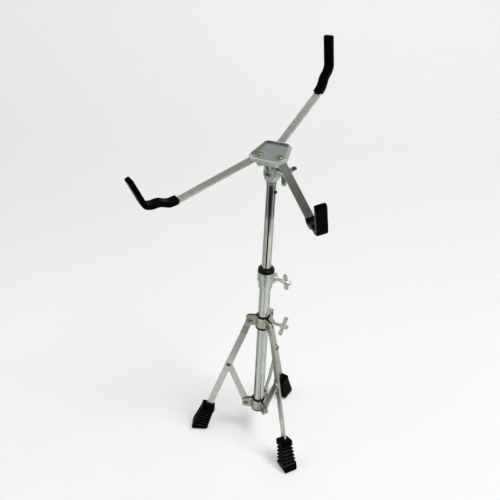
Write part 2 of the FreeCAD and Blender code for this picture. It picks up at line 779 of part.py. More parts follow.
def build_foot(name, turn):
    """A ribbed rubber foot: the common part of its ribbed side and front outlines."""
    side = new_body(f"foot_{name}_side")
    flank = ribbed_side("foot_top_depth / 2", "foot_bottom_depth / 2")
    inner = [(x, f"-({y})") for x, y in reversed(flank)]
    outer_toe = floor_corner("foot_bottom_depth / 2")
    inner_toe = floor_corner("-foot_bottom_depth / 2", "foot_toe_round")
    sketch = add_sketch(side, "XY_Plane")
    draw(sketch, flank + [outer_toe, inner_toe] + inner)
    extrude(side, "Pad", sketch, "2 * foot_bottom_width", symmetric=True)
    socket = add_sketch(side, "YZ_Plane", "foot_top_gap - cut_overrun")
    half_width = "leg_width / 2 + seat_fit"
    socket_low = f"-({LEG_SET} + leg_thickness / 2 + seat_fit)"
    draw(socket, box_corners(half_width, socket_low, f"seat_fit - {KNEE_GAP}"))
    extrude(side, "Pocket", socket, "foot_socket + cut_overrun", reverse=True)
    front = new_body(f"foot_{name}_front")
    flank = ribbed_side("foot_top_width / 2", "foot_bottom_width / 2")
    end = ("collar_pivot / cos(leg_lean) + foot_bottom_depth", "foot_bottom_width / 2")
    right = flank + [end]
    left = [(x, f"-({y})") for x, y in reversed(right)]
    sketch = add_sketch(front, "XZ_Plane")
    draw(sketch, right + left)
    extrude(front, "Pad", sketch, "2 * foot_bottom_depth", symmetric=True)
    front.Placement = FreeCAD.Placement(FreeCAD.Vector(0, 0, -value(LEG_SET)), FreeCAD.Rotation())
    foot = doc.addObject("Part::Common", f"foot_{name}_common")
    foot.Base = side
    foot.Tool = front
    frame = leg_frame(turn, value("pivot_radius"), value("collar_pivot"), 90 - value("leg_lean"))
    keep(foot, f"foot_{name}", frame)


def build_height_tube():
    """The height tube with the ferrule round its top and the set screw that holds the yoke."""
    bore = "(tube_outer / 2 - tube_wall)"
    tube = turned("upper_tube", [
        (bore, "0"),
        ("tube_outer / 2", "0"),
        ("tube_outer / 2", "tube_length"),
        (bore, "tube_length"),
    ])
    drop = "(tube_length - set_screw_drop)"
    turns = [turn_about(Z_AXIS, value("set_screw_side")), turn_about(Y_AXIS, 90)]
    hole = "set_screw_outer / 2 + seat_fit"
    tube = bored(tube, hole, "tube_outer", place(0, 0, value(drop), *turns), "upper_tube")
    keep(tube, "upper_tube", place(0, 0, value("tube_foot")))
    seat = "(tube_outer / 2 + seat_fit)"
    ferrule = turned("tube_ferrule", [
        (seat, "0"),
        ("ferrule_outer / 2", "0"),
        ("ferrule_outer / 2", "ferrule_height"),
        (seat, "ferrule_height"),
    ])
    keep(ferrule, "tube_ferrule", place(0, 0, value(f"{TUBE_TOP} - ferrule_height")))
    head_start = "(tube_outer / 2 + seat_fit)"
    head_end = f"({head_start} + set_screw_head_height)"
    screw = turned("set_screw", [
        ("0", bore),
        ("set_screw_outer / 2", bore),
        ("set_screw_outer / 2", head_start),
        ("set_screw_head / 2", head_start),
        ("set_screw_head / 2", head_end),
        ("0", head_end),
    ])
    keep(screw, "set_screw", place(0, 0, value(f"{TUBE_TOP} - set_screw_drop"), *turns))


def build_yoke():
    """The cast yoke: two rounded cheeks on a neck, with a spigot down inside the height tube."""
    neck_top = "-yoke_neck_depth"
    seat = "(side_gap - tilt_rise)"
    body = new_body("tilter_yoke")
    cheek = add_sketch(body, "YZ_Plane")
    draw(cheek, [
        ("-yoke_neck_half", seat),
        ("yoke_neck_half", seat),
        ("yoke_round", neck_top, "yoke_round"),
        ("yoke_round", "yoke_round", "yoke_round * cheek_round_share"),
        ("-yoke_round", "yoke_round", "yoke_round * cheek_round_share"),
        ("-yoke_round", neck_top, "yoke_round"),
    ])
    extrude(body, "Pad", cheek, "2 * yoke_half_width", symmetric=True)
    slot = add_sketch(body, "XZ_Plane")
    draw(slot, box_corners("yoke_slot_half", neck_top, "2 * yoke_round"))
    extrude(body, "Pocket", slot, symmetric=True)
    waste = add_sketch(body, "XZ_Plane")
    for side in ("", "-"):
        draw(waste, [
            (f"{side}(yoke_half_width + cut_overrun)", f"{seat} - cut_overrun"),
            (f"{side}yoke_neck_half", f"{seat} - cut_overrun"),
            (f"{side}yoke_neck_half", seat),
            (f"{side}yoke_half_width", neck_top),
            (f"{side}(yoke_half_width + cut_overrun)", neck_top),
        ])
    extrude(body, "Pocket", waste, symmetric=True)
    spigot = "(tube_outer / 2 - tube_wall - running_fit)"
    spin(body, "Revolution", [
        ("0", f"{seat} - side_gap - yoke_spigot_length"),
        (spigot, f"{seat} - side_gap - yoke_spigot_length"),
        (spigot, seat),
        ("0", seat),
    ])
    drill(body, "YZ_Plane", [("0", "0")], "tilt_bolt_outer + 2 * seat_fit")
    keep(body, "tilter_yoke", TILT)


def build_tilt_bolt():
    """The tilt bolt across the yoke, its washer and its swept wing nut."""
    across = place(0, 0, 0, turn_about(Y_AXIS, 90))
    head = "(-yoke_half_width - tilt_head_height)"
    tail = "(yoke_half_width + tilt_bolt_tail)"
    shank = "tilt_bolt_outer / 2"
    bolt = turned("tilt_bolt", [
        ("0", head),
        ("tilt_head_outer / 2 - tilt_head_chamfer", head),
        ("tilt_head_outer / 2", f"{head} + tilt_head_chamfer"),
        ("tilt_head_outer / 2", "-yoke_half_width"),
        (shank, "-yoke_half_width"),
        (shank, tail),
        ("0", tail),
    ])
    keep(bolt, "tilt_bolt", TILT.multiply(across))
    hole = "(tilt_bolt_outer / 2 + running_fit)"
    washer_end = "(yoke_half_width + tilt_washer)"
    washer = turned("tilt_washer", [
        (hole, "yoke_half_width"),
        ("tilt_washer_outer / 2", "yoke_half_width"),
        ("tilt_washer_outer / 2", washer_end),
        (hole, washer_end),
    ])
    keep(washer, "tilt_washer", TILT.multiply(across))
    nut = new_body("tilt_wing_nut")
    start = f"({washer_end} + side_gap)"
    end = f"({start} + nut_hub_length)"
    spin(nut, "Revolution", [
        ("0", start),
        ("nut_hub_outer / 2", start),
        ("nut_hub_outer / 2", end),
        ("0", end),
    ])
    wing = add_sketch(nut, "XZ_Plane")
    root = f"({start} + nut_wing_start)"
    draw(wing, [
        ("0", f"{root} - nut_wing_width / 2"),
        ("nut_wing_span / 2", f"{root} + nut_wing_sweep - nut_wing_width / 2", "nut_wing_round"),
        ("nut_wing_span / 2", f"{root} + nut_wing_sweep + nut_wing_width / 2", "nut_wing_round"),
        ("0", end),
        ("-nut_wing_span / 2", f"{root} + nut_wing_sweep + nut_wing_width / 2", "nut_wing_round"),
        ("-nut_wing_span / 2", f"{root} + nut_wing_sweep - nut_wing_width / 2", "nut_wing_round"),
    ])
    extrude(nut, "Pad", wing, "wing_thickness", symmetric=True)
    drill(nut, "XY_Plane", [("0", "0")], "tilt_bolt_outer + 2 * running_fit")
    spun = place(0, 0, 0, turn_about(Z_AXIS, 90 - value("nut_wing_turn")))
    keep(nut, "tilt_wing_nut", TILT.multiply(across).multiply(spun))


def build_tongue():
    """The tilter tongue: a pressed channel whose two rounded legs hang from the basket tray."""
    half = "(yoke_slot_half - side_gap)"
    body = new_body("tilter_tongue")
    sketch = add_sketch(body, "YZ_Plane")
    draw(sketch, [
        ("-tongue_top_half", "tray_floor_height"),
        ("-tongue_top_half", "tray_floor_height - tongue_web"),
        ("-tongue_round", "-tongue_round", "tongue_round * cheek_round_share"),
        ("tongue_round", "-tongue_round", "tongue_round * cheek_round_share"),
        ("tongue_top_half", "tray_floor_height - tongue_web"),
        ("tongue_top_half", "tray_floor_height"),
    ])
    extrude(body, "Pad", sketch, f"2 * {half}", symmetric=True)
    channel = add_sketch(body, "XZ_Plane")
    inner = f"({half} - tongue_leg)"
    draw(channel, box_corners(inner, "-2 * tongue_round", "tray_floor_height - tongue_web"))
    extrude(body, "Pocket", channel, symmetric=True)
    drill(body, "YZ_Plane", [("0", "0")], "tilt_bolt_outer + 2 * running_fit")
    keep(body, "tilter_tongue", HEAD)


def plate_corners(inset, radius):
    """Return the basket plate's outline, drawn in by an inset."""
    right = [
        (f"plate_front_half - {inset}", f"{inset} - plate_front", radius),
        (f"plate_half - {inset}", "-plate_side_front", radius),
        (f"plate_shoulder_half - {inset}", "plate_shoulder", radius),
        (f"plate_back_half - {inset}", f"plate_back - {inset}", radius),
    ]
    return right + [(f"-({x})", y, r) for x, y, r in reversed(right)]


def build_plates():
    """The basket's pressed top plate with its raised rim, and the deep tray under the arms."""
    pivots = [("-pivot_spacing / 2", "-pivot_set"), ("pivot_spacing / 2", "-pivot_set")]
    plate = new_body("top_plate")
    sketch = add_sketch(plate, "XY_Plane", ARM_TOP)
    draw(sketch, plate_corners("0", "plate_corner"))
    extrude(plate, "Pad", sketch, "plate_wall", draft="-plate_draft")
    dish = add_sketch(plate, "XY_Plane", f"{ARM_TOP} + plate_wall")
    draw(dish, plate_corners("(plate_wall * tan(plate_draft) + plate_rim)", "plate_corner - plate_rim / 2"))
    extrude(plate, "Pocket", dish, "plate_wall - plate_sheet")
    drill(plate, "XY_Plane", pivots, "pivot_bolt_outer + 2 * seat_fit")
    keep(plate, "top_plate", BASKET)
    tray = new_body("lower_tray")
    sketch = add_sketch(tray, "XY_Plane", ARM_UNDERSIDE)
    draw(sketch, plate_corners("tray_inset", "plate_corner"))
    extrude(tray, "Pad", sketch, f"{ARM_UNDERSIDE} - tray_floor_height", reverse=True, draft="-tray_draft")
    hollow = add_sketch(tray, "XY_Plane", ARM_UNDERSIDE)
    draw(hollow, plate_corners("(tray_inset + plate_sheet)", "plate_corner - plate_sheet / 2"))
    depth = f"{ARM_UNDERSIDE} - tray_floor_height - plate_sheet"
    extrude(tray, "Pocket", hollow, depth, draft="-tray_draft")
    drill(tray, "XY_Plane", pivots, "pivot_bolt_outer + 2 * seat_fit")
    keep(tray, "lower_tray", BASKET)


def build_pivots():
    """The two arm pivots: bolts through plate and tray, nuts and end discs below."""
    floor = "tray_floor_height"
    head = f"({ARM_TOP} + plate_sheet)"
    shank = "pivot_bolt_outer / 2"
    nut_low = f"({floor} - pivot_nut_height)"
    disc_low = f"({nut_low} - pivot_disc)"
    outlines = {
        "pivot_bolts": [
            ("0", nut_low),
            (shank, nut_low),
            (shank, head),
            ("pivot_head_outer / 2", head),
            ("pivot_head_outer / 2", f"{head} + pivot_head_height"),
            ("0", f"{head} + pivot_head_height"),
        ],
        "pivot_discs": [
            ("0", disc_low),
            ("pivot_disc_outer / 2", disc_low),
            ("pivot_disc_outer / 2", nut_low),
            ("0", nut_low),
        ],
    }
    sides = {"left": "-pivot_spacing / 2", "right": "pivot_spacing / 2"}
    spots = {side: BASKET.multiply(place(value(x), -value("pivot_set"))) for side, x in sides.items()}
    for label, outline in outlines.items():
        copies = []
        for side, spot in spots.items():
            piece = turned(f"{label}_{side}", outline)
            piece.Placement = spot
            copies.append(piece)
        grouped(label, copies)
    nuts = []
    across = "(pivot_nut_across / 2)"
    reach = f"({across} / cos(30))"
    for side, spot in spots.items():
        nut = new_body(f"pivot_nuts_{side}")
        sketch = add_sketch(nut, "XY_Plane", nut_low)
        draw(sketch, [(f"{reach} * cos({60 * step})", f"{reach} * sin({60 * step})") for step in range(6)])
        extrude(nut, "Pad", sketch, "pivot_nut_height")
        drill(nut, "XY_Plane", [("0", "0")], "pivot_bolt_outer + 2 * seat_fit")
        nut.Placement = spot
        nuts.append(nut)
    grouped("pivot_nuts", nuts)


def seat_point(along, lift):
    """Return a point on the rising seat of an arm, at a distance along it and above its middle."""
    x = f"arm_reach + ({along}) * cos(seat_rise) - ({lift}) * sin(seat_rise)"
    y = f"({along}) * sin(seat_rise) + ({lift}) * cos(seat_rise)"
    return x, y


def hook_point(along, lift):
    """Return a point on the hook of an arm, at a distance up it and inwards from its middle."""
    foot = seat_point("seat_length", "0")
    x = f"{foot[0]} + ({along}) * cos(hook_rise) - ({lift}) * sin(hook_rise)"
    y = f"{foot[1]} + ({along}) * sin(hook_rise) + ({lift}) * cos(hook_rise)"
    return x, y


def heel_point(lift):
    """Return the mitre between seat and hook at a distance from their middle line."""
    spread = f"({lift}) / cos((hook_rise - seat_rise) / 2)"
    foot = seat_point("seat_length", "0")
    x = f"{foot[0]} - {spread} * sin((hook_rise + seat_rise) / 2)"
    y = f"{foot[1]} + {spread} * cos((hook_rise + seat_rise) / 2)"
    return x, y


def arm_path(root):
    """Return the middle line of an arm from its root to the end of its hook."""
    return [
        (f"-({root})", "0"),
        ("arm_reach", "0", "arm_bend"),
        (*seat_point("seat_length", "0"), "arm_bend"),
        hook_point("hook_length - hook_core_gap", "0"),
    ]


def grip_corners():
    """Return the outline of the rubber sleeve: waves along the seat, then straight up the hook."""
    under = []
    upper = []
    for share, sign in WAVE_SHARES.items():
        along = f"{share} * seat_length"
        rounding = "grip_round" if share else "grip_tip_round / 2"
        under.append((*seat_point(along, f"{sign} * grip_wave - grip_half"), rounding))
        upper.append((*seat_point(along, f"{sign} * grip_wave + grip_half"), rounding))
    hook = [
        (*heel_point("-grip_half"), "grip_heel_round"),
        (*hook_point("hook_length", "-grip_half"), "grip_tip_round"),
        (*hook_point("hook_length", "grip_half"), "grip_tip_round"),
        (*heel_point("grip_half"), "grip_tip_round"),
    ]
    return under + hook + upper[::-1]


def build_arm(name, spot, root, thickness, pivots):
    """A basket arm: a flat strap bent up into a hook, and the rubber sleeve over its end."""
    half = f"({thickness}) / 2"
    arm = new_body(f"{name}_arm")
    sweep(arm, "AdditivePipe", arm_path(root), "arm_width / 2", half, f"-({root})")
    if pivots:
        drill(arm, "XY_Plane", [("0", "0")], "pivot_bolt_outer + 2 * running_fit")
    near = value("seat_fit") - value(root)

    def at_root(edge):
        """Tell whether an edge runs through the thickness at the root."""
        return runs_along(edge, FreeCAD.Vector(*Z_AXIS)) and edge.CenterOfMass.x < near

    round_edges(arm, "arm_root_round", at_root)
    keep(arm, f"{name}_arm", spot)
    grip = new_body(f"{name}_arm_grip")
    sketch = add_sketch(grip, "XZ_Plane")
    draw(sketch, grip_corners())
    extrude(grip, "Pad", sketch, "grip_width", symmetric=True)
    wide = "arm_width / 2 + seat_fit"
    core = [("arm_reach / 2", "0"), *arm_path("0")[1:]]
    sweep(grip, "SubtractivePipe", core, wide, f"{half} + seat_fit", "arm_reach / 2")
    keep(grip, f"{name}_arm_grip", spot)


def build_arms():
    """Two swinging arms on their pivots, and the fixed arm held between plate and tray."""
    sides = {"left": "-pivot_spacing / 2", "right": "pivot_spacing / 2"}
    lift = value("arm_plane")
    for name, x in sides.items():
        turn = turn_about(Z_AXIS, value(f"{name}_arm_turn"))
        spot = BASKET.multiply(place(value(x), -value("pivot_set"), lift, turn))
        build_arm(name, spot, "arm_root", "arm_thickness", True)
    turn = turn_about(Z_AXIS, value("fixed_arm_turn"))
    spot = BASKET.multiply(place(0, value("fixed_arm_set"), lift, turn))
    build_arm("fixed", spot, "fixed_arm_root", "arm_thickness + 2 * side_gap", False)


def write_parts():
    """Check every object and write each sub-part to its file."""
    doc.recompute()
    faults = [item.Name for item in doc.Objects if {"Invalid", "Error"} & set(item.State)]
    for piece in pieces:
        if piece.Shape.isNull() or not piece.Shape.isValid():
            faults.append(piece.Label)
    if faults:
        raise ValueError("failed objects: " + ", ".join(faults))
    os.makedirs("parts", exist_ok=True)
    for piece in pieces:
        piece.Shape.exportStep(f"parts/{piece.Label}.step")


build_pipe()
build_clamp()
build_wing_screw("clamp", "bush_spigot_outer / 2 + side_gap", CLAMP_MIDDLE)
build_bracket_set("lower", "lower_pivot", "seat_fit", False)
build_bracket_set("collar", "collar_pivot", "running_fit", True)
build_collar_nut()
build_wing_screw("collar", "pipe_outer / 2 + side_gap", "collar_pivot")
for leg_name, leg_turn in LEG_TURNS.items():
    build_leg(leg_name, leg_turn)
    build_foot(leg_name, leg_turn)
build_height_tube()
build_yoke()
build_tilt_bolt()
build_tongue()
build_plates()
build_pivots()
build_arms()
write_parts()
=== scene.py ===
"""Snare drum stand: studio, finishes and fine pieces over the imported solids."""
import json
import logging
import math
from dataclasses import dataclass, field
from enum import Enum
from typing import Any, Sequence

import bmesh
import bpy
from mathutils import Matrix, Vector


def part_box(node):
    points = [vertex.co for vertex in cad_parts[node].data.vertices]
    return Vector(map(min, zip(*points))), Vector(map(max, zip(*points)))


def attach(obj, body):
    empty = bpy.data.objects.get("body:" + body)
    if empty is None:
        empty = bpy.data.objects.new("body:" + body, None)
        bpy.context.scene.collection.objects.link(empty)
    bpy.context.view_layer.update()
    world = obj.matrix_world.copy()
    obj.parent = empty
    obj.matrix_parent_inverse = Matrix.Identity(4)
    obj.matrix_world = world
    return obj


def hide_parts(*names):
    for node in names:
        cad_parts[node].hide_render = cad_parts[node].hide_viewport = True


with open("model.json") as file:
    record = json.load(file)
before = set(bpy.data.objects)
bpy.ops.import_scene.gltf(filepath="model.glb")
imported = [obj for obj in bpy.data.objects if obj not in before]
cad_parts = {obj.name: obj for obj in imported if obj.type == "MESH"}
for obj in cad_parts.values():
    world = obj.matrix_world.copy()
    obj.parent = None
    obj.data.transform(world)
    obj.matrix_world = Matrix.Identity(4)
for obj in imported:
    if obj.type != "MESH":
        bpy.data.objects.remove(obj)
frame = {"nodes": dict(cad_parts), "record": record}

LOG = logging.getLogger("snare_stand")
MM = 0.001
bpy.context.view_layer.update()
BODY_OF = {node: body for body, nodes in frame["record"]["behaviour"]["bodies"].items() for node in nodes}
SLOT_OF = {entry["node"]: entry["material_slot"] for entry in frame["record"]["subparts"]}

# Edges that bend by more than this many degrees stay sharp, on plain pieces and on lofted rubber
CREASE = 35.0
RUBBER_CREASE = 50.0
# How a copy of a CAD node is merged and flattened, which edges are broken, and in how many steps
MERGE_MM = 0.002
FLAT_DEGREES = 0.5
SHARP_DEGREES = 30.0
EDGE_STEPS = 3
# Steps on each rounded corner of a turned outline and of a lofted ring
TURNED_CORNER_STEPS = 5
RING_CORNER_STEPS = 6
# Share of a finish's patches in the noise that its roughness follows; the grain has the rest
PATCH_GLOSS_SHARE = 0.6

# Corners of an outline in millimetres: two places, and a rounding where the corner has one
Outline = Sequence[tuple[float, ...]]
# Places and aims of copies, in metres
Spots = Sequence[tuple[Vector, Vector]]
# A place along X, Y and Z
Place = tuple[float, float, float]


class Side(Enum):
    """The two swinging arms and the fixed arm of the basket."""

    LEFT = "left"
    RIGHT = "right"
    FIXED = "fixed"


class Leg(Enum):
    """The tripod's legs with their bearing round the pipe in degrees."""

    LEFT = 180.0
    FRONT = 300.0
    BACK = 60.0


def linear(colour: str) -> tuple[float, float, float, float]:
    """Turn an sRGB hex colour into linear values.

    Args:
        colour: six hex digits after a hash sign.

    Returns:
        Linear red, green and blue, and an alpha of one.
    """
    parts = [int(colour[start:start + 2], 16) / 255 for start in (1, 3, 5)]
    red, green, blue = (c / 12.92 if c <= 0.04045 else ((c + 0.055) / 1.055) ** 2.4 for c in parts)
    return red, green, blue, 1.0


def add(tree: bpy.types.NodeTree, kind: str, settings: dict[str, Any],
        feeds: dict[Any, Any]) -> bpy.types.Node:
    """Add one node, set its properties, and fill or link its inputs.

    Args:
        tree: the node tree to add to.
        kind: the node's type name.
        settings: property names and values.
        feeds: input names or numbers, with a value or an output socket to link.

    Returns:
        The new node.
    """
    node = tree.nodes.new(kind)
    for name, setting in settings.items():
        setattr(node, name, setting)
    for name, feed in feeds.items():
        if isinstance(feed, bpy.types.NodeSocket):
            tree.links.new(feed, node.inputs[name])
        else:
            node.inputs[name].default_value = feed
    return node


def per_metre(size_mm: float) -> float:
    """Return the texture scale that makes a feature of a size in millimetres."""
    return 1.0 / (size_mm * MM)


@dataclass(frozen=True)
class Finish:
    """A surface: two tones mixed in patches, a roughness that wanders, and a fine grain.

    Attributes:
        name: the material and how its surface was made.
        tone: main colour.
        shade: colour of the patches.
        patch_mm: size of the patches.
        patch_share: how strongly the patches show.
        smooth: lowest roughness.
        rough: highest roughness.
        grain_mm: size of the fine grain.
        grain_depth_mm: depth of the fine grain.
        metallic: one for metals, less under a black oxide skin, zero for rubber and plastic.
        stretch: scale of the grain on each axis, small where it is drawn out.
        sheen: strength of the plain reflection of rubber and plastic.
    """

    name: str
    tone: str
    shade: str
    patch_mm: float
    patch_share: float
    smooth: float
    rough: float
    grain_mm: float
    grain_depth_mm: float
    metallic: float = 1.0
    stretch: tuple[float, float, float] = (1.0, 1.0, 1.0)
    sheen: float = 0.5

    def make(self) -> bpy.types.Material:
        """Build the node material, once for each finish.

        Returns:
            The material.
        """
        ready = bpy.data.materials.get(self.name)
        if ready is not None:
            return ready
        material = bpy.data.materials.new(self.name)
        material.use_nodes = True
        tree = material.node_tree
        shader = tree.nodes["Principled BSDF"]
        place = add(tree, "ShaderNodeTexCoord", {}, {})
        drawn = add(tree, "ShaderNodeMapping", {}, {"Vector": place.outputs["Object"], "Scale": self.stretch})
        patches = add(tree, "ShaderNodeTexNoise", {}, {
            "Vector": place.outputs["Object"], "Scale": per_metre(self.patch_mm),
            "Detail": 4.0, "Roughness": 0.6})
        grain = add(tree, "ShaderNodeTexNoise", {}, {
            "Vector": drawn.outputs["Vector"], "Scale": per_metre(self.grain_mm), "Detail": 3.0})
        amount = add(tree, "ShaderNodeMapRange", {}, {
            "Value": patches.outputs["Fac"], "From Min": 0.38, "From Max": 0.68, "To Max": self.patch_share})
        mixed = add(tree, "ShaderNodeMix", {"data_type": "RGBA"}, {
            "Factor": amount.outputs["Result"], 6: linear(self.tone), 7: linear(self.shade)})
        wander = add(tree, "ShaderNodeMath", {"operation": "MULTIPLY"}, {
            0: patches.outputs["Fac"], 1: PATCH_GLOSS_SHARE})
        both = add(tree, "ShaderNodeMath", {"operation": "MULTIPLY_ADD"}, {
            0: grain.outputs["Fac"], 1: 1.0 - PATCH_GLOSS_SHARE, 2: wander.outputs["Value"]})
        gloss = add(tree, "ShaderNodeMapRange", {}, {
            "Value": both.outputs["Value"], "From Min": 0.3, "From Max": 0.7,
            "To Min": self.smooth, "To Max": self.rough})
        bump = add(tree, "ShaderNodeBump", {}, {
            "Height": grain.outputs["Fac"], "Strength": 1.0, "Distance": self.grain_depth_mm * MM})
        tree.links.new(mixed.outputs[2], shader.inputs["Base Color"])
        tree.links.new(gloss.outputs["Result"], shader.inputs["Roughness"])
        tree.links.new(bump.outputs["Normal"], shader.inputs["Normal"])
        shader.inputs["Metallic"].default_value = self.metallic
        shader.inputs["Specular IOR Level"].default_value = self.sheen
        return material


# Chrome on drawn steel tube: mirror bright, with faint lengthwise drawing lines and handling smears
CHROME_TUBE = Finish(
    "chrome_plated_drawn_tube", "#c6cbc3", "#aab0a7", patch_mm=14.0, patch_share=0.5,
    smooth=0.05, rough=0.12, grain_mm=1.1, grain_depth_mm=0.004, stretch=(1.0, 1.0, 0.03))
# Chrome on castings and pressings: bright, with the slight orange peel of a polished casting
CHROME_CAST = Finish(
    "chrome_plated_casting", "#c4c9c1", "#a0a69d", patch_mm=7.0, patch_share=0.55,
    smooth=0.08, rough=0.22, grain_mm=2.2, grain_depth_mm=0.02)
# Nickel on pressed sheet: beige-grey, satin, a little clouded
NICKEL_SHEET = Finish(
    "nickel_plated_pressed_sheet", "#babaae", "#918f7f", patch_mm=5.0, patch_share=0.7,
    smooth=0.16, rough=0.34, grain_mm=0.9, grain_depth_mm=0.006)
# Zinc-nickel on rolled strap: grey-green, lightly clouded by rolling and passivation
ROLLED_STRAP = Finish(
    "plated_rolled_steel_strap", "#bcc0b6", "#a6aba0", patch_mm=6.5, patch_share=0.7,
    smooth=0.14, rough=0.26, grain_mm=0.8, grain_depth_mm=0.006)
# Satin nickel on the basket's top plate: grey, evenly dulled by tumbling
SATIN_PLATE = Finish(
    "satin_nickel_pressed_plate", "#bac0bb", "#a7aea8", patch_mm=9.0, patch_share=0.6,
    smooth=0.22, rough=0.36, grain_mm=0.7, grain_depth_mm=0.005)
# Satin chrome on the cast yoke and clamp: pale, blurred by a fine cast skin
SATIN_CAST = Finish(
    "satin_chrome_casting", "#cdd2ca", "#adb3aa", patch_mm=6.0, patch_share=0.55,
    smooth=0.28, rough=0.42, grain_mm=1.4, grain_depth_mm=0.02)
# The top plate's rim: the same nickel, paler and glossier on its faces that look up, a painted highlight
PAINTED_HIGHLIGHT_RIM = Finish(
    "rubbed_nickel_rim", "#eceeea", "#d2d6d0", patch_mm=5.0, patch_share=0.5,
    smooth=0.1, rough=0.2, grain_mm=0.9, grain_depth_mm=0.006)
# The wall of the plate's dish: the nickel painted dark and dull, a painted shade in the recess that outlines
# the dish
PAINTED_SHADE_DISH_WALL = Finish(
    "tarnished_nickel_dish_wall", "#727672", "#555955", patch_mm=3.0, patch_share=0.6,
    smooth=0.24, rough=0.4, grain_mm=0.9, grain_depth_mm=0.006)
# Bare brass: pale and dull, with olive tarnish in patches
DULL_BRASS = Finish(
    "dull_brass_turned", "#8d876a", "#56513a", patch_mm=2.4, patch_share=0.8,
    smooth=0.34, rough=0.52, grain_mm=0.6, grain_depth_mm=0.008)
# Zinc-plated washers and discs: pale and even
PALE_ZINC = Finish(
    "zinc_plated_steel", "#c9cac5", "#a3a49f", patch_mm=3.0, patch_share=0.6,
    smooth=0.2, rough=0.36, grain_mm=0.7, grain_depth_mm=0.006)
# Moulded black nylon: close-grained with a soft sheen
BLACK_NYLON = Finish(
    "moulded_black_nylon", "#050505", "#0b0b0b", patch_mm=4.0, patch_share=0.6,
    smooth=0.18, rough=0.32, grain_mm=0.5, grain_depth_mm=0.01, metallic=0.0, sheen=0.12)
# Oil-blackened steel: dark, with a dull metal glint
BLACK_STEEL = Finish(
    "oil_blackened_steel", "#1a1a19", "#262522", patch_mm=2.5, patch_share=0.6,
    smooth=0.25, rough=0.4, grain_mm=0.5, grain_depth_mm=0.006, metallic=0.6)
# Dip-moulded rubber sleeves: deep black with a narrow shine where the lamp catches an edge
SLEEVE_RUBBER = Finish(
    "moulded_black_rubber_sleeve", "#020202", "#050505", patch_mm=8.0, patch_share=0.6,
    smooth=0.16, rough=0.28, grain_mm=0.9, grain_depth_mm=0.02, metallic=0.0, sheen=0.012)
# Press-moulded rubber feet: black with a green cast, duller, with a trace of dust
FOOT_RUBBER = Finish(
    "moulded_black_rubber_foot", "#020402", "#070b08", patch_mm=6.0, patch_share=0.65,
    smooth=0.24, rough=0.4, grain_mm=0.9, grain_depth_mm=0.03, metallic=0.0, sheen=0.012)
# The lips of the feet's ribs: thin paler, glossier lines that part the ribs, painted glints
PAINTED_GLINT_RUBBER = Finish(
    "rubbed_black_rubber_edge", "#2a302b", "#161a17", patch_mm=6.0, patch_share=0.65,
    smooth=0.2, rough=0.36, grain_mm=0.9, grain_depth_mm=0.02, metallic=0.0, sheen=0.2)

FINISH_OF_SLOT = {
    "chrome_tube": CHROME_TUBE,
    "chrome_cast": CHROME_CAST,
    "nickel_bracket": NICKEL_SHEET,
    "zinc_strap": ROLLED_STRAP,
    "nickel_plate": SATIN_PLATE,
    "brass_rivet": DULL_BRASS,
    "pale_washer": PALE_ZINC,
    "black_plastic": BLACK_NYLON,
    "black_screw": BLACK_STEEL,
    "black_rubber": SLEEVE_RUBBER,
}


def finish_of(node: str) -> Finish:
    """Return the finish of a CAD node's material slot."""
    return FINISH_OF_SLOT[SLOT_OF[node]]


def put(name: str, data: Any) -> bpy.types.Object:
    """Make an object of a mesh, a light or a camera and put it in the scene.

    Args:
        name: the object's name.
        data: what it shows.

    Returns:
        The new object.
    """
    made = bpy.data.objects.new(name, data)
    bpy.context.scene.collection.objects.link(made)
    return made


def plain_mesh(name: str, shape: bmesh.types.BMesh) -> bpy.types.Mesh:
    """Turn the faces of a closed shape outwards and make it a mesh.

    Args:
        name: the mesh's name.
        shape: the shape in metres; it is freed.

    Returns:
        The new mesh.
    """
    bmesh.ops.recalc_face_normals(shape, faces=shape.faces)
    mesh = bpy.data.meshes.new(name)
    shape.to_mesh(mesh)
    shape.free()
    return mesh


def dress(name: str, mesh: bpy.types.Mesh, finish: Finish, crease: float = CREASE) -> bpy.types.Object:
    """Make an object of a mesh, shaded so that its large faces lead and broken edges don't bend them.

    Args:
        name: the object's name.
        mesh: the plain mesh.
        finish: its surface.
        crease: edges that bend more than this many degrees stay sharp.

    Returns:
        The new object.
    """
    mesh.shade_smooth()
    mesh.set_sharp_from_angle(angle=math.radians(crease))
    mesh.materials.clear()
    mesh.materials.append(finish.make())
    piece = put(name, mesh)
    lead = piece.modifiers.new("large_faces_lead", "WEIGHTED_NORMAL")
    lead.keep_sharp = True
    piece.data = bpy.data.meshes.new_from_object(piece.evaluated_get(bpy.context.evaluated_depsgraph_get()))
    piece.data.name = name
    piece.modifiers.clear()
    return piece


def settle(name: str, mesh: bpy.types.Mesh, finish: Finish, nodes: Sequence[str],
           crease: float = CREASE) -> bpy.types.Object:
    """Turn a mesh into a finished piece that stands for CAD nodes and rides their body.

    Args:
        name: the piece's name.
        mesh: the plain mesh, in metres in the CAD frame.
        finish: its surface.
        nodes: the CAD nodes it stands for, all of one body.
        crease: edges that bend more than this many degrees stay sharp.

    Returns:
        The new object.
    """
    piece = dress(name, mesh, finish, crease)
    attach(piece, BODY_OF[nodes[0]])
    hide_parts(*nodes)
    LOG.info("%s stands for %s", name, ", ".join(nodes))
    return piece


def adorn(name: str, mesh: bpy.types.Mesh, finish: Finish, node: str) -> bpy.types.Object:
    """Add a piece that rides with a CAD node beside the piece that stands for it.

    Args:
        name: the piece's name.
        mesh: the plain mesh, in metres in the CAD frame.
        finish: its surface.
        node: the CAD node whose body and material slot it takes.

    Returns:
        The new object.
    """
    piece = dress(name, mesh, finish)
    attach(piece, BODY_OF[node])
    LOG.info("%s rides with %s", name, node)
    return piece


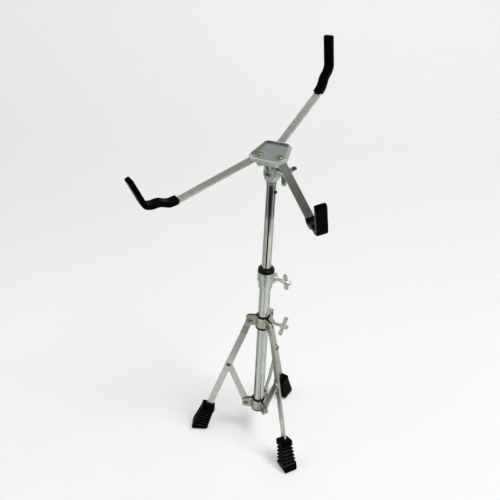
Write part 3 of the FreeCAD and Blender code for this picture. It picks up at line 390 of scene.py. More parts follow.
def softened(node: str, width_mm: float, finish: Finish) -> bpy.types.Object:
    """Stand for a CAD node with a merged copy whose sharp edges are broken.

    Args:
        node: the CAD node.
        width_mm: how far the edge rounding reaches.
        finish: its surface.

    Returns:
        The new piece.
    """
    shape = bmesh.new()
    shape.from_mesh(frame["nodes"][node].data)
    bmesh.ops.remove_doubles(shape, verts=shape.verts, dist=MERGE_MM * MM)
    flat, limit = math.radians(FLAT_DEGREES), math.radians(SHARP_DEGREES)
    bmesh.ops.dissolve_limit(shape, angle_limit=flat, verts=shape.verts, edges=shape.edges)
    sharp = [edge for edge in shape.edges if len(edge.link_faces) == 2 and edge.calc_face_angle(0) > limit]
    bmesh.ops.bevel(shape, geom=sharp, offset=width_mm * MM, segments=EDGE_STEPS, profile=0.5,
                    affect="EDGES", clamp_overlap=True)
    name = f"{node}_fine"
    return settle(name, plain_mesh(name, shape), finish, [node])


def frame_of(x: float, y: float, z: float, *turns: tuple[str, float]) -> Matrix:
    """Make a frame at a point, turned step by step.

    Args:
        x: the point's place along X in millimetres.
        y: its place along Y.
        z: its place along Z.
        *turns: axis and degrees of each turn, in order.

    Returns:
        The frame in metres.
    """
    result = Matrix.Translation(Vector((x, y, z)) * MM)
    for axis, degrees in turns:
        result = result @ Matrix.Rotation(math.radians(degrees), 4, axis)
    return result


def skin(shape: bmesh.types.BMesh, rings: Sequence[Sequence[Vector]], close: bool = False) -> None:
    """Join rings of points into a skin, capped at both ends unless it closes on itself.

    Args:
        shape: the mesh to add to.
        rings: equally long rings of points in metres.
        close: whether the last ring joins the first.
    """
    loops = [[shape.verts.new(point) for point in ring] for ring in rings]
    pairs = list(zip(loops, loops[1:]))
    if close:
        pairs.append((loops[-1], loops[0]))
    for here, there in pairs:
        for index in range(len(here)):
            after = (index + 1) % len(here)
            shape.faces.new((here[index], here[after], there[after], there[index]))
    if not close:
        shape.faces.new(list(reversed(loops[0])))
        shape.faces.new(loops[-1])


def turned(shape: bmesh.types.BMesh, profile: Outline, place: Matrix, steps: int) -> None:
    """Turn a closed outline of (radius, height) points about the Z axis of a frame.

    Args:
        shape: the mesh to add to.
        profile: the outline in millimetres, never at radius zero.
        place: the frame to turn in.
        steps: facets round the axis.
    """
    turns = [2 * math.pi * step / steps for step in range(steps)]
    rings = [[place @ (Vector((radius * math.cos(turn), radius * math.sin(turn), height)) * MM)
              for turn in turns] for radius, height in profile]
    skin(shape, rings, close=True)


def rounded(profile: Outline, steps: int = TURNED_CORNER_STEPS) -> list[tuple[float, float]]:
    """Round the corners (x, y, radius) of a closed outline; corners without a radius stay.

    Args:
        profile: corners in order.
        steps: steps on each rounding.

    Returns:
        The outline as points.
    """
    points = []
    count = len(profile)
    for index, corner in enumerate(profile):
        here = Vector(corner[:2])
        if len(corner) == 2:
            points.append((here.x, here.y))
            continue
        back = (Vector(profile[index - 1][:2]) - here).normalized()
        ahead = (Vector(profile[(index + 1) % count][:2]) - here).normalized()
        half = back.angle(ahead) / 2
        run = corner[2] / math.tan(half)
        centre = here + (back + ahead).normalized() * (corner[2] / math.sin(half))
        start = here + back * run - centre
        stop = here + ahead * run - centre
        sweep = start.angle(stop)
        for step in range(steps + 1):
            share = step / steps
            spot = (start * math.sin((1 - share) * sweep) + stop * math.sin(share * sweep)) / math.sin(sweep)
            points.append((centre.x + spot.x, centre.y + spot.y))
    return points


def oblong(half_width: float, half_height: float, corner: float) -> list[tuple[float, float]]:
    """Return a rounded rectangle about zero as points, in the units given."""
    return rounded([
        (half_width, half_height, corner), (-half_width, half_height, corner),
        (-half_width, -half_height, corner), (half_width, -half_height, corner)], RING_CORNER_STEPS)


class Repeater:
    """Sets copies of one small piece on points with Geometry Nodes."""

    def __init__(self, name: str) -> None:
        """Build the node tree: copies on points, turned to an aim, realised and given a finish.

        Args:
            name: the tree's name.
        """
        tree = bpy.data.node_groups.new(name, "GeometryNodeTree")
        kinds = {"Points": "Geometry", "Piece": "Object", "Size": "Float", "Finish": "Material"}
        sockets = {}
        for label, kind in kinds.items():
            made = tree.interface.new_socket(label, in_out="INPUT", socket_type=f"NodeSocket{kind}")
            sockets[label] = made.identifier
        tree.interface.new_socket("Geometry", in_out="OUTPUT", socket_type="NodeSocketGeometry")
        start = add(tree, "NodeGroupInput", {}, {})
        piece = add(tree, "GeometryNodeObjectInfo", {}, {"Object": start.outputs["Piece"]})
        aim = add(tree, "GeometryNodeInputNamedAttribute", {"data_type": "FLOAT_VECTOR"}, {"Name": "aim"})
        turn = add(tree, "FunctionNodeAlignRotationToVector", {"axis": "Z"}, {
            "Vector": aim.outputs["Attribute"]})
        copies = add(tree, "GeometryNodeInstanceOnPoints", {}, {
            "Points": start.outputs["Points"], "Instance": piece.outputs["Geometry"],
            "Rotation": turn.outputs["Rotation"], "Scale": start.outputs["Size"]})
        real = add(tree, "GeometryNodeRealizeInstances", {}, {"Geometry": copies.outputs["Instances"]})
        dressed = add(tree, "GeometryNodeSetMaterial", {}, {
            "Geometry": real.outputs["Geometry"], "Material": start.outputs["Finish"]})
        add(tree, "NodeGroupOutput", {}, {"Geometry": dressed.outputs["Geometry"]})
        self.tree = tree
        self.sockets = sockets

    def spread(self, name: str, pattern: bmesh.types.BMesh, spots: Spots, finish: Finish) -> bpy.types.Mesh:
        """Set a pattern piece on every spot.

        Args:
            name: the result's name.
            pattern: the piece to copy, about its own origin with Z outwards; it is freed.
            spots: places and aims in the CAD frame, in metres.
            finish: the copies' surface.

        Returns:
            One plain mesh of all copies.
        """
        seed = put(name + "_pattern", plain_mesh(name + "_pattern", pattern))
        points = bpy.data.meshes.new(name + "_points")
        points.from_pydata([spot for spot, _ in spots], [], [])
        aims = points.attributes.new("aim", "FLOAT_VECTOR", "POINT")
        for index, (_, aim) in enumerate(spots):
            aims.data[index].vector = aim
        carrier = put(name + "_carrier", points)
        modifier = carrier.modifiers.new("copies", "NODES")
        modifier.node_group = self.tree
        modifier[self.sockets["Piece"]] = seed
        modifier[self.sockets["Size"]] = 1.0
        modifier[self.sockets["Finish"]] = finish.make()
        bpy.context.view_layer.update()
        graph = bpy.context.evaluated_depsgraph_get()
        result = bpy.data.meshes.new_from_object(carrier.evaluated_get(graph))
        carrier.modifiers.remove(modifier)
        for item in (seed, carrier):
            bpy.data.objects.remove(item)
        return result


@dataclass
class Rivets:
    """Hollow brass rivets: a rolled rim round a dark hole at each end of each pivot."""

    repeater: Repeater
    pivot_radius: float = 21.4
    collar_pivot: float = 240.5
    lower_pivot: float = 61.5
    lean: float = 18.7
    knee: float = 101.0
    ear_back: float = 3.6
    leg_face: float = 3.15
    brace_face: float = 2.95
    head: float = 4.2
    bore: float = 1.1
    height: float = 1.3
    sink: float = 0.02
    edge_height: float = 0.25
    edge_round: float = 0.2
    shoulder: float = 0.9
    shoulder_round: float = 0.8
    roll: float = 0.5
    roll_round: float = 0.6
    mouth_height: float = 0.3
    mouth_round: float = 0.4
    facets: int = 32

    def pattern(self) -> bmesh.types.BMesh:
        """Make one rolled rivet head, its foot on the plane of its seat.

        Returns:
            The head's shape.
        """
        outline = [
            (self.bore, -self.height), (self.head, -self.sink),
            (self.head, self.edge_height, self.edge_round),
            (self.head - self.shoulder, self.height, self.shoulder_round),
            (self.bore + self.roll, self.height, self.roll_round),
            (self.bore, self.mouth_height, self.mouth_round)]
        shape = bmesh.new()
        turned(shape, rounded(outline), Matrix(), self.facets)
        return shape

    def leg_frame(self, leg: Leg) -> Matrix:
        """Return a leg's frame: X down the leg, Y outwards, Z against the turning sense."""
        return (Matrix.Rotation(math.radians(leg.value), 4, "Z")
                @ frame_of(self.pivot_radius, 0, self.collar_pivot, ("Y", 90 - self.lean), ("X", 90)))

    def roll_heads(self, node: str, spots: Spots) -> None:
        """Stand for a node of rivets with a rolled head on each spot.

        Args:
            node: the CAD node.
            spots: places and aims of the heads.
        """
        mesh = self.repeater.spread(node, self.pattern(), spots, DULL_BRASS)
        settle(node + "_rolled", mesh, DULL_BRASS, [node])

    def build(self) -> None:
        """Set the heads on the brackets and on the knees."""
        for node, height in (("collar_rivets", self.collar_pivot), ("lower_rivets", self.lower_pivot)):
            spots = []
            for leg in Leg:
                turn = Matrix.Rotation(math.radians(leg.value), 3, "Z")
                for way in (1, -1):
                    spot = turn @ (Vector((self.pivot_radius, way * self.ear_back, height)) * MM)
                    spots.append((spot, turn @ Vector((0, way, 0))))
            self.roll_heads(node, spots)
        for leg in Leg:
            place = self.leg_frame(leg)
            aim = place.to_3x3() @ Vector((0, 0, 1))
            self.roll_heads(f"knee_rivet_{leg.name.lower()}", [
                (place @ (Vector((self.knee, 0, self.brace_face)) * MM), aim),
                (place @ (Vector((self.knee, 0, -self.leg_face)) * MM), -aim)])


@dataclass
class Feet:
    """Ribbed rubber feet, one on each leg, flat on the floor.

    Attributes:
        rivets: the rivets, for the legs' frames.
        top: where the feet start, down the leg from its pivot.
        cap: length of the plain cap above the ribs.
        cap_edge: rounding of the cap's top as (distance from the top, how far inside the full size).
        cap_lip: rounding of its lower lip as (distance above the lip's end, how far inside the full size).
        groove: the groove over each rib as (distance from its start, height over the groove's depth).
        swell_shares: where a rib swells, as shares of the pitch and of the way from groove to lip.
        rib_lip: rounding of a rib's lip as (distance above the rib's end, how far inside the full size).
    """

    rivets: Rivets
    top: float = 201.0
    cap: float = 10.0
    pitch: float = 6.4
    ribs: int = 5
    rib_depth: float = 3.2
    top_depth: float = 11.25
    bottom_depth: float = 13.25
    top_width: float = 10.0
    bottom_width: float = 12.0
    side_set: float = -1.65
    corner: float = 2.2
    sole_round: float = 5.0
    sole_steps: int = 7
    cap_edge: tuple[tuple[float, float], ...] = ((0.0, 1.6), (0.25, 0.7), (0.9, 0.15), (2.0, 0.0))
    cap_lip: tuple[tuple[float, float], ...] = ((0.9, 0.0), (0.25, 0.25), (0.0, 0.9))
    groove: tuple[tuple[float, float], ...] = ((0.35, -0.1), (1.4, 0.1))
    swell_shares: tuple[float, float] = (0.55, 0.4)
    rib_lip: tuple[tuple[float, float], ...] = ((1.3, 0.2), (0.55, 0.0), (0.1, 0.3))

    def flank(self, top: float, bottom: float) -> list[tuple[float, float]]:
        """Work out half sizes down the foot.

        Args:
            top: half size of the cap in millimetres.
            bottom: half size of the lowest rib.

        Returns:
            Points as (distance along the leg, half size).
        """
        points = [(along, top - inset) for along, inset in self.cap_edge]
        points += [(self.cap - above, top - inset) for above, inset in self.cap_lip]
        along_share, out_share = self.swell_shares
        for rib in range(self.ribs):
            low = top + (bottom - top) * rib / self.ribs - self.rib_depth
            high = top + (bottom - top) * (rib + 1) / self.ribs
            start = self.cap + rib * self.pitch
            points += [(start + along, low + rise) for along, rise in self.groove]
            points.append((start + self.pitch * along_share, low + (high - low) * out_share))
            points += [(start + self.pitch - above, high - inset) for above, inset in self.rib_lip]
        points[-1] = (self.cap + self.ribs * self.pitch, bottom)
        return points

    def paint_lip_glints(self, foot: bpy.types.Object, around: int) -> None:
        """Paint the lips of the cap and of the ribs paler, as painted glints.

        Args:
            foot: the foot's piece, its faces in the order of the loft.
            around: how many faces go round the foot.
        """
        foot.data.materials.append(PAINTED_GLINT_RUBBER.make())
        cap_rings = len(self.cap_edge) + len(self.cap_lip)
        before_lip = len(self.groove) + 1
        rib_rings = before_lip + len(self.rib_lip)
        starts = [len(self.cap_edge)]
        starts += [cap_rings + rib_rings * rib + before_lip for rib in range(self.ribs)]
        lips = {start + step for start in starts for step in range(len(self.rib_lip) - 1)}
        # Lip faces get the paler rubber: painted glints along the ribs.
        for face in foot.data.polygons:
            if face.index // around in lips:
                face.material_index = 1

    def build(self) -> None:
        """Loft the feet ring by ring down to the floor."""
        lean = math.radians(self.rivets.lean)
        depths = self.flank(self.top_depth, self.bottom_depth)
        widths = self.flank(self.top_width, self.bottom_width)
        for leg in Leg:
            place = self.rivets.leg_frame(leg)
            rings = []
            for (along, depth), (_, width) in zip(depths, widths):
                rings.append([place @ (Vector((self.top + along, y, z + self.side_set)) * MM)
                              for y, z in oblong(depth, width, self.corner)])
            for step in range(self.sole_steps + 1):
                bent = math.radians(90 * step / self.sole_steps)
                rise = self.sole_round * (1 - math.sin(bent))
                draw_in = self.sole_round * (1 - math.cos(bent))
                ring = []
                for y, z in oblong(self.bottom_depth - draw_in, self.bottom_width - draw_in, self.corner):
                    floor = (self.rivets.collar_pivot - rise + y * math.sin(lean)) / math.cos(lean)
                    ring.append(place @ (Vector((floor, y, z + self.side_set)) * MM))
                rings.append(ring)
            shape = bmesh.new()
            skin(shape, rings)
            node = f"foot_{leg.name.lower()}"
            name = node + "_ribbed"
            foot = settle(name, plain_mesh(name, shape), FOOT_RUBBER, [node], RUBBER_CREASE)
            self.paint_lip_glints(foot, len(rings[0]))


@dataclass
class Basket:
    """The tilting basket: its frame, and the wavy rubber sleeves on its three arms.

    Attributes:
        turns: bearing of each arm in the plates' frame, in degrees.
        wave: height of the waves over the seat.
        wave_length: length of one wave.
        wave_start: the wave's phase at the sleeve's root, in radians.
        wave_stop: how far before the seat's end the waves have died out.
        wave_fade: how sharply they die out.
        taper_share: how much thinner the sleeve is at its tip.
        corner_share: largest rounding of a ring's corners, as a share of its half height.
        root_round: length of the rounding at the root.
        end_round: length of the rounding at the tip, and how far both ends draw in.
        end_shares: rings on the tip's rounding, as shares of it from the tip.
    """

    tilt_height: float = 509.4
    tilt_side: float = -40.8
    tilt_angle: float = 16.8
    plate_twist: float = 13.2
    arm_plane: float = 22.7
    pivot_spacing: float = 33.0
    pivot_set: float = 2.0
    fixed_set: float = 27.4
    turns: dict[Side, float] = field(default_factory=lambda: {
        Side.LEFT: -117.6, Side.RIGHT: -47.0, Side.FIXED: 90.0})
    reach: float = 136.6
    seat_rise: float = 22.7
    seat_length: float = 50.0
    hook_rise: float = 80.1
    hook_length: float = 50.0
    bend: float = 9.0
    dish_depth: float = 2.6
    sleeve_half_width: float = 7.5
    sleeve_half: float = 4.3
    wave: float = 1.5
    wave_length: float = 31.0
    wave_start: float = 0.35
    wave_stop: float = 4.0
    wave_fade: float = 4.0
    taper_share: float = 0.12
    corner: float = 2.1
    corner_share: float = 0.9
    root_round: float = 1.6
    end_round: float = 1.3
    end_shares: tuple[float, ...] = (0.62, 0.32, 0.12, 0.03, 0.0)
    seat_steps: int = 28
    bend_steps: int = 8
    hook_steps: int = 14

    def plate_frame(self) -> Matrix:
        """Return the basket plates' frame."""
        return frame_of(0, 0, self.tilt_height, ("Z", self.tilt_side), ("X", self.tilt_angle),
                        ("Z", self.plate_twist))

    def arm_frame(self, side: Side) -> Matrix:
        """Make an arm's frame: X along the strap from its root, Z up out of the basket.

        Args:
            side: the arm.

        Returns:
            The frame in metres.
        """
        half = self.pivot_spacing / 2
        spots = {Side.LEFT: (-half, -self.pivot_set), Side.RIGHT: (half, -self.pivot_set),
                 Side.FIXED: (0, self.fixed_set)}
        x, y = spots[side]
        return self.plate_frame() @ frame_of(x, y, self.arm_plane, ("Z", self.turns[side]))

    def middle_line(self) -> list[tuple[Vector, Vector, float]]:
        """Draw the sleeve's middle line in the arm's XZ plane: along the seat, round the bend, up the hook.

        Returns:
            Stations as (point, way ahead, distance), in millimetres.
        """
        low, high = math.radians(self.seat_rise), math.radians(self.hook_rise)
        seat = Vector((math.cos(low), math.sin(low)))
        hook = Vector((math.cos(high), math.sin(high)))
        start = Vector((self.reach, 0))
        heel = start + seat * self.seat_length
        half = (high - low) / 2
        run = self.bend * math.tan(half)
        straight = self.seat_length - run
        strides = [straight * step / self.seat_steps for step in range(self.seat_steps + 1)]
        line = [(start + seat * stride, seat, stride) for stride in strides]
        centre = heel - seat * run + Vector((-seat.y, seat.x)) * self.bend
        for step in range(1, self.bend_steps + 1):
            bent = 2 * half * step / self.bend_steps
            way = Vector((math.cos(low + bent), math.sin(low + bent)))
            line.append((centre + Vector((way.y, -way.x)) * self.bend, way, straight + self.bend * bent))
        base = line[-1]
        rest = self.hook_length - run
        climbs = [(rest - self.end_round) * step / self.hook_steps for step in range(1, self.hook_steps + 1)]
        climbs += [rest - self.end_round * share for share in self.end_shares]
        line += [(base[0] + hook * climb, hook, base[2] + climb) for climb in climbs]
        return line

    def sleeve(self, side: Side) -> None:
        """Loft one rubber sleeve along its arm, waving over the seat and straight up the hook.

        Args:
            side: the arm.
        """
        place = self.arm_frame(side)
        line = self.middle_line()
        total = line[-1][2]
        rings = []
        for point, way, distance in line:
            fade = max(0.0, 1.0 - distance / (self.seat_length - self.wave_stop))
            phase = 2 * math.pi * distance / self.wave_length + self.wave_start
            lift = self.wave * math.cos(phase) * min(1.0, fade * self.wave_fade)
            ends = min(1.0, distance / self.root_round, (total - distance) / self.end_round)
            ease = math.sqrt(max(0.0, 1.0 - (1.0 - ends) ** 2))
            taper = 1.0 - self.taper_share * distance / total
            half = self.sleeve_half * taper - self.end_round * (1.0 - ease)
            wide = self.sleeve_half_width - self.end_round * (1.0 - ease)
            across = Vector((-way.y, way.x))
            ring = []
            for y, z in oblong(wide, half, min(self.corner, half * self.corner_share)):
                spot = point + across * (z + lift)
                ring.append(place @ (Vector((spot.x, y, spot.y)) * MM))
            rings.append(ring)
        shape = bmesh.new()
        skin(shape, rings)
        name = f"{side.value}_arm_sleeve"
        settle(name, plain_mesh(name, shape), SLEEVE_RUBBER, [f"{side.value}_arm_grip"], RUBBER_CREASE)

    def build(self) -> None:
        """Make the three sleeves."""
        for side in Side:
            self.sleeve(side)


@dataclass
class Turnings:
    """Round pieces whose edges are rolled or domed: ferrule, bush, sleeves, tilt bolt and arm pivots.

    Attributes:
        basket: the basket, for the places of its bolts.
        axis: radius that stands for the axis itself.
        sleeve_lips: radius of each plastic sleeve's lip.
        bolt_head: the tilt bolt's domed head, from its crown to its seat.
        pivot_head: an arm pivot's head, from its seat to the dimple that the riveting tool left.
    """

    basket: Basket
    tube_bore: float = 7.56
    pipe_bore: float = 9.06
    axis: float = 0.05
    edge: float = 0.5
    roll: float = 0.6
    ferrule: float = 8.2
    ferrule_groove: float = 7.75
    ferrule_height: float = 6.0
    groove_half: float = 0.3
    bush_body: float = 10.8
    bush_flange: float = 13.0
    flange_height: float = 16.0
    bush_height: float = 21.5
    bush_crown: float = 2.7
    bush_mouth: float = 0.8
    sleeve_lips: tuple[tuple[str, float], ...] = (("collar_sleeve", 12.3), ("lower_sleeve", 11.3))
    sleeve_body: float = 11.0
    sleeve_height: float = 24.0
    sleeve_mouth: float = 0.4
    lip_height: float = 4.6
    lip_slope: float = 0.1
    lip_round: float = 1.2
    shank: float = 3.0
    bolt_head: Outline = ((2.4, -12.8, 2.0), (4.6, -12.2, 1.6), (5.5, -10.8, 1.0), (5.5, -9.2, 0.3))
    bolt_end: float = 29.2
    bolt_bevel: float = 0.7
    pivot_seat: float = 26.35
    pivot_end: float = -16.9
    pivot_head: Outline = (
        (5.0, 0.0, 0.15), (5.0, 0.8, 0.5), (3.6, 1.8, 0.8), (2.5, 1.8, 0.35), (1.7, 0.5, 0.6))
    pivot_dimple: float = 0.35
    upright_facets: int = 72
    bolt_facets: int = 64
    pivot_facets: int = 48

    def upright(self, node: str, outline: Outline) -> None:
        """Turn a piece about the pipe's axis from the foot of its CAD node up.

        Args:
            node: the CAD node it stands for.
            outline: its corners as (radius, height), with roundings.
        """
        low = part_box(node)[0][2] / MM
        shape = bmesh.new()
        turned(shape, rounded(outline), frame_of(0, 0, low), self.upright_facets)
        name = f"{node}_turned"
        settle(name, plain_mesh(name, shape), finish_of(node), [node])

    def tilt_bolt(self) -> None:
        """Turn the tilt bolt: a domed head, a plain shank through the yoke and a bevelled tail."""
        place = frame_of(0, 0, self.basket.tilt_height, ("Z", self.basket.tilt_side), ("Y", 90))
        crown, seat = self.bolt_head[0][1], self.bolt_head[-1][1]
        outline = [
            (self.axis, crown), *self.bolt_head, (self.shank, seat),
            (self.shank, self.bolt_end - self.bolt_bevel), (self.shank - self.bolt_bevel, self.bolt_end),
            (self.axis, self.bolt_end)]
        shape = bmesh.new()
        turned(shape, rounded(outline), place, self.bolt_facets)
        name = "tilt_bolt_turned"
        settle(name, plain_mesh(name, shape), finish_of("tilt_bolt"), ["tilt_bolt"])

    def pivot_bolts(self) -> None:
        """Turn both arm pivots with low domed heads, dimpled by the riveting tool."""
        outline = rounded([
            (self.axis, self.pivot_end), (self.shank, self.pivot_end), (self.shank, 0.0), *self.pivot_head,
            (self.axis, self.pivot_dimple)])
        shape = bmesh.new()
        for side in (-1, 1):
            place = self.basket.plate_frame() @ frame_of(
                side * self.basket.pivot_spacing / 2, -self.basket.pivot_set, self.pivot_seat)
            turned(shape, outline, place, self.pivot_facets)
        name = "pivot_bolts_dimpled"
        settle(name, plain_mesh(name, shape), DULL_BRASS, ["pivot_bolts"])

    def build(self) -> None:
        """Make every turned piece."""
        middle = self.ferrule_height / 2
        self.upright("tube_ferrule", [
            (self.tube_bore, 0.0), (self.ferrule, 0.0, self.edge),
            (self.ferrule, middle - self.groove_half, self.roll), (self.ferrule_groove, middle),
            (self.ferrule, middle + self.groove_half, self.roll),
            (self.ferrule, self.ferrule_height, self.edge), (self.tube_bore, self.ferrule_height)])
        self.upright("clamp_bush", [
            (self.tube_bore, 0.0), (self.bush_body, 0.0), (self.bush_body, self.flange_height),
            (self.bush_flange, self.flange_height, self.edge),
            (self.bush_flange, self.bush_height, self.bush_crown),
            (self.tube_bore, self.bush_height, self.bush_mouth)])
        for node, lip in self.sleeve_lips:
            self.upright(node, [
                (self.pipe_bore, 0.0, self.sleeve_mouth), (lip, 0.0, self.lip_round),
                (lip, self.lip_height, self.edge), (self.sleeve_body, self.lip_height + self.lip_slope),
                (self.sleeve_body, self.sleeve_height, self.roll),
                (self.pipe_bore, self.sleeve_height, self.sleeve_mouth)])
        self.tilt_bolt()
        self.pivot_bolts()


@dataclass
class Threads:
    """Fine thread ridges on the open lengths of the screws.

    Attributes:
        repeater: sets the ridges.
        basket: the basket, for the tilt bolt's place.
        flank_share: half the foot of a ridge as a share of the pitch.
        root: how far a ridge goes into the shank.
        crest: half the width of its crest.
        wing_screws: each wing screw's node, its bearing in degrees and where its ridges start.
        wing_stop: where they end.
        bolt_run: where the tilt bolt's ridges start and end.
    """

    repeater: Repeater
    basket: Basket
    pitch: float = 0.8
    ridge: float = 0.14
    flank_share: float = 0.34
    root: float = 0.1
    crest: float = 0.08
    facets: int = 24
    wing_screws: tuple[tuple[str, float, float], ...] = (
        ("clamp_wing_screw", -30.0, 18.4), ("collar_wing_screw", -24.0, 19.8))
    wing_radius: float = 2.5
    wing_stop: float = 29.3
    bolt_radius: float = 3.0
    bolt_run: tuple[float, float] = (26.6, 28.4)

    def ridge_ring(self, radius: float) -> bmesh.types.BMesh:
        """Make one ridge round the Z axis.

        Args:
            radius: the shank's radius in millimetres.

        Returns:
            The ridge's shape.
        """
        half = self.pitch * self.flank_share
        inside, outside = radius - self.root, radius + self.ridge
        outline = [(inside, -half), (radius, -half), (outside, -self.crest), (outside, self.crest),
                   (radius, half), (inside, half)]
        shape = bmesh.new()
        turned(shape, outline, Matrix(), self.facets)
        return shape

    def run(self, node: str, radius: float, place: Matrix, start: float, stop: float) -> None:
        """Set ridges along the Z axis of a frame.

        Args:
            node: the screw's CAD node.
            radius: the shank's radius in millimetres.
            place: the frame whose Z axis the screw lies on.
            start: where the ridges start, in millimetres.
            stop: where they end.
        """
        count = int((stop - start) / self.pitch)
        aim = place.to_3x3() @ Vector((0, 0, 1))
        spots = [(place @ (Vector((0, 0, start + self.pitch * step)) * MM), aim) for step in range(count + 1)]
        name, finish = f"{node}_thread", finish_of(node)
        adorn(name, self.repeater.spread(name, self.ridge_ring(radius), spots, finish), finish, node)

    def build(self) -> None:
        """Set the ridges of both wing screws and of the tilt bolt."""
        for node, side, start in self.wing_screws:
            low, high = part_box(node)
            place = frame_of(0, 0, (low[2] + high[2]) / 2 / MM, ("Z", side), ("Y", 90))
            self.run(node, self.wing_radius, place, start, self.wing_stop)
        place = frame_of(0, 0, self.basket.tilt_height, ("Z", self.basket.tilt_side), ("Y", 90))
        self.run("tilt_bolt", self.bolt_radius, place, *self.bolt_run)


@dataclass
class Hardware:
    """The CAD nodes that keep their form and get broken edges and a finish.

    Attributes:
        basket: the basket, for the top plate's frame.
        edges: how far each node's edges are rounded, in millimetres.
        satin: castings with a satin finish in place of their slot's bright one.
        wall_slope: faces of the dish that look up less than this are its wall, which gets the painted shade.
        rim_slope: faces at the plate's top that look up more than this are its rim, which gets the painted
            highlight.
    """

    basket: Basket
    edges: dict[str, float] = field(default_factory=lambda: {
        "leg_left": 0.5, "leg_front": 0.5, "leg_back": 0.5,
        "brace_left": 0.45, "brace_front": 0.45, "brace_back": 0.45,
        "left_arm": 0.6, "right_arm": 0.6, "fixed_arm": 0.6,
        "top_plate": 0.7, "lower_tray": 0.5,
        "tilter_yoke": 1.2, "tilter_tongue": 0.6, "tilt_washer": 0.4, "tilt_wing_nut": 0.8,
        "clamp_wing_screw": 0.8, "collar_wing_screw": 0.8,
        "clamp_body": 0.9, "collar_nut": 0.9, "set_screw": 0.6,
        "collar_bracket_1": 0.4, "collar_bracket_2": 0.4, "collar_bracket_3": 0.4,
        "lower_bracket_1": 0.4, "lower_bracket_2": 0.4, "lower_bracket_3": 0.4,
        "pivot_nuts": 0.5, "pivot_discs": 0.4,
        "base_tube": 0.3, "upper_tube": 0.3})
    satin: tuple[str, ...] = ("tilter_yoke", "tilter_tongue", "clamp_body")
    wall_slope: float = 0.8
    rim_slope: float = 0.3

    def paint_rim_highlight_and_dish_shade(self, plate: bpy.types.Object) -> None:
        """Paint a pale highlight on the top plate's raised rim and a dark shade on the wall of its dish.

        Args:
            plate: the piece that stands for the top plate.
        """
        for finish in (PAINTED_HIGHLIGHT_RIM, PAINTED_SHADE_DISH_WALL):
            plate.data.materials.append(finish.make())
        inside = self.basket.plate_frame().inverted()
        top = max((inside @ face.center).z for face in plate.data.polygons)
        for face in plate.data.polygons:
            centre, way = inside @ face.center, inside.to_3x3() @ face.normal
            if centre.z < top - self.basket.dish_depth * MM:
                continue
            inwards = way.x * centre.x + way.y * centre.y < 0
            # Inward wall faces get the painted shade; upward faces of the rim get the painted highlight.
            if way.z < self.wall_slope and inwards:
                face.material_index = 2
            elif way.z > self.rim_slope and centre.z > top - self.basket.dish_depth / 2 * MM:
                face.material_index = 1

    def build(self) -> None:
        """Break the edges of every kept node."""
        for node, width in self.edges.items():
            piece = softened(node, width, SATIN_CAST if node in self.satin else finish_of(node))
            if node == "top_plate":
                self.paint_rim_highlight_and_dish_shade(piece)


class Ring(Enum):
    """Rings of felt on the floor: distances of the inner and outer edge from the pipe, in metres."""

    NEAR = (0.03, 0.47)
    MIDDLE = (0.47, 0.77)
    MIDDLE_EDGE = (0.71, 0.77)
    FAR = (0.77, 1.3)


@dataclass(frozen=True)
class Card:
    """A felt card on the studio floor that only the metal mirrors.

    Attributes:
        ring: the ring it lies in.
        tone: its colour.
        start: bearing of its left edge seen from the pipe, in degrees right of the camera.
        stop: bearing of its right edge.
    """

    ring: Ring
    tone: str
    start: float
    stop: float


# Felt on the floor: the near cards give the pipe its streaks, the middle ones the height tube's, and the
# far ones darken the tube's top
CARDS = (
    Card(Ring.NEAR, "#eff1ee", -150, -112),
    Card(Ring.NEAR, "#c8cbc7", -112, -80),
    Card(Ring.NEAR, "#ecefec", -80, -55),
    Card(Ring.NEAR, "#d3d5d2", -14, 8),
    Card(Ring.NEAR, "#e6e8e5", 85, 150),
    Card(Ring.MIDDLE, "#d1d3d0", -140, -48),
    Card(Ring.MIDDLE, "#1c1e1c", -30, 8),
    Card(Ring.MIDDLE, "#dfe2de", 75, 120),
    Card(Ring.MIDDLE_EDGE, "#a5a8a5", 8, 48),
    Card(Ring.FAR, "#7c7f7c", -120, -75),
    Card(Ring.FAR, "#b4b8b4", -75, -48),
    Card(Ring.FAR, "#3b3f3c", -48, -26),
    Card(Ring.FAR, "#191b19", -26, 4),
    Card(Ring.FAR, "#494d4a", 4, 48),
    Card(Ring.FAR, "#bfc2be", 48, 75),
    Card(Ring.FAR, "#434643", 75, 110),
)


@dataclass(frozen=True)
class Lamp:
    """A square soft light that faces the stand.

    Attributes:
        name: its name.
        spot: its place in metres.
        size: its edge in metres.
        power: its power in watts.
        lights: whether it lights matt surfaces.
        mirrored: whether shiny surfaces mirror it.
    """

    name: str
    spot: Place
    size: float
    power: float
    lights: bool = True
    mirrored: bool = True


# A large soft key that the metal doesn't mirror, a weak fill, and two glints that only the metal mirrors
LAMPS = (
    Lamp("key_light", (1.2, -0.65, 2.9), size=1.15, power=52.0, mirrored=False),
    Lamp("fill_light", (-2.0, -0.6, 2.2), size=1.4, power=8.5),
    Lamp("key_glint", (1.2, -0.95, 2.9), size=0.6, power=52.0, lights=False),
    Lamp("side_glint", (2.5, 0.3, 1.3), size=1.5, power=6.5, lights=False),
)


def seen(tree: bpy.types.NodeTree) -> bpy.types.NodeSocket:
    """Tell looking from lighting in a material or a world.

    Args:
        tree: the node tree to add to.

    Returns:
        A socket that is one where the camera or a shiny surface looks, and zero for the light itself.
    """
    path = add(tree, "ShaderNodeLightPath", {}, {})
    shiny = add(tree, "ShaderNodeMath", {"operation": "MAXIMUM"}, {
        0: path.outputs["Is Glossy Ray"], 1: path.outputs["Is Transmission Ray"]})
    return add(tree, "ShaderNodeMath", {"operation": "MAXIMUM"}, {
        0: path.outputs["Is Camera Ray"], 1: shiny.outputs["Value"]}).outputs["Value"]


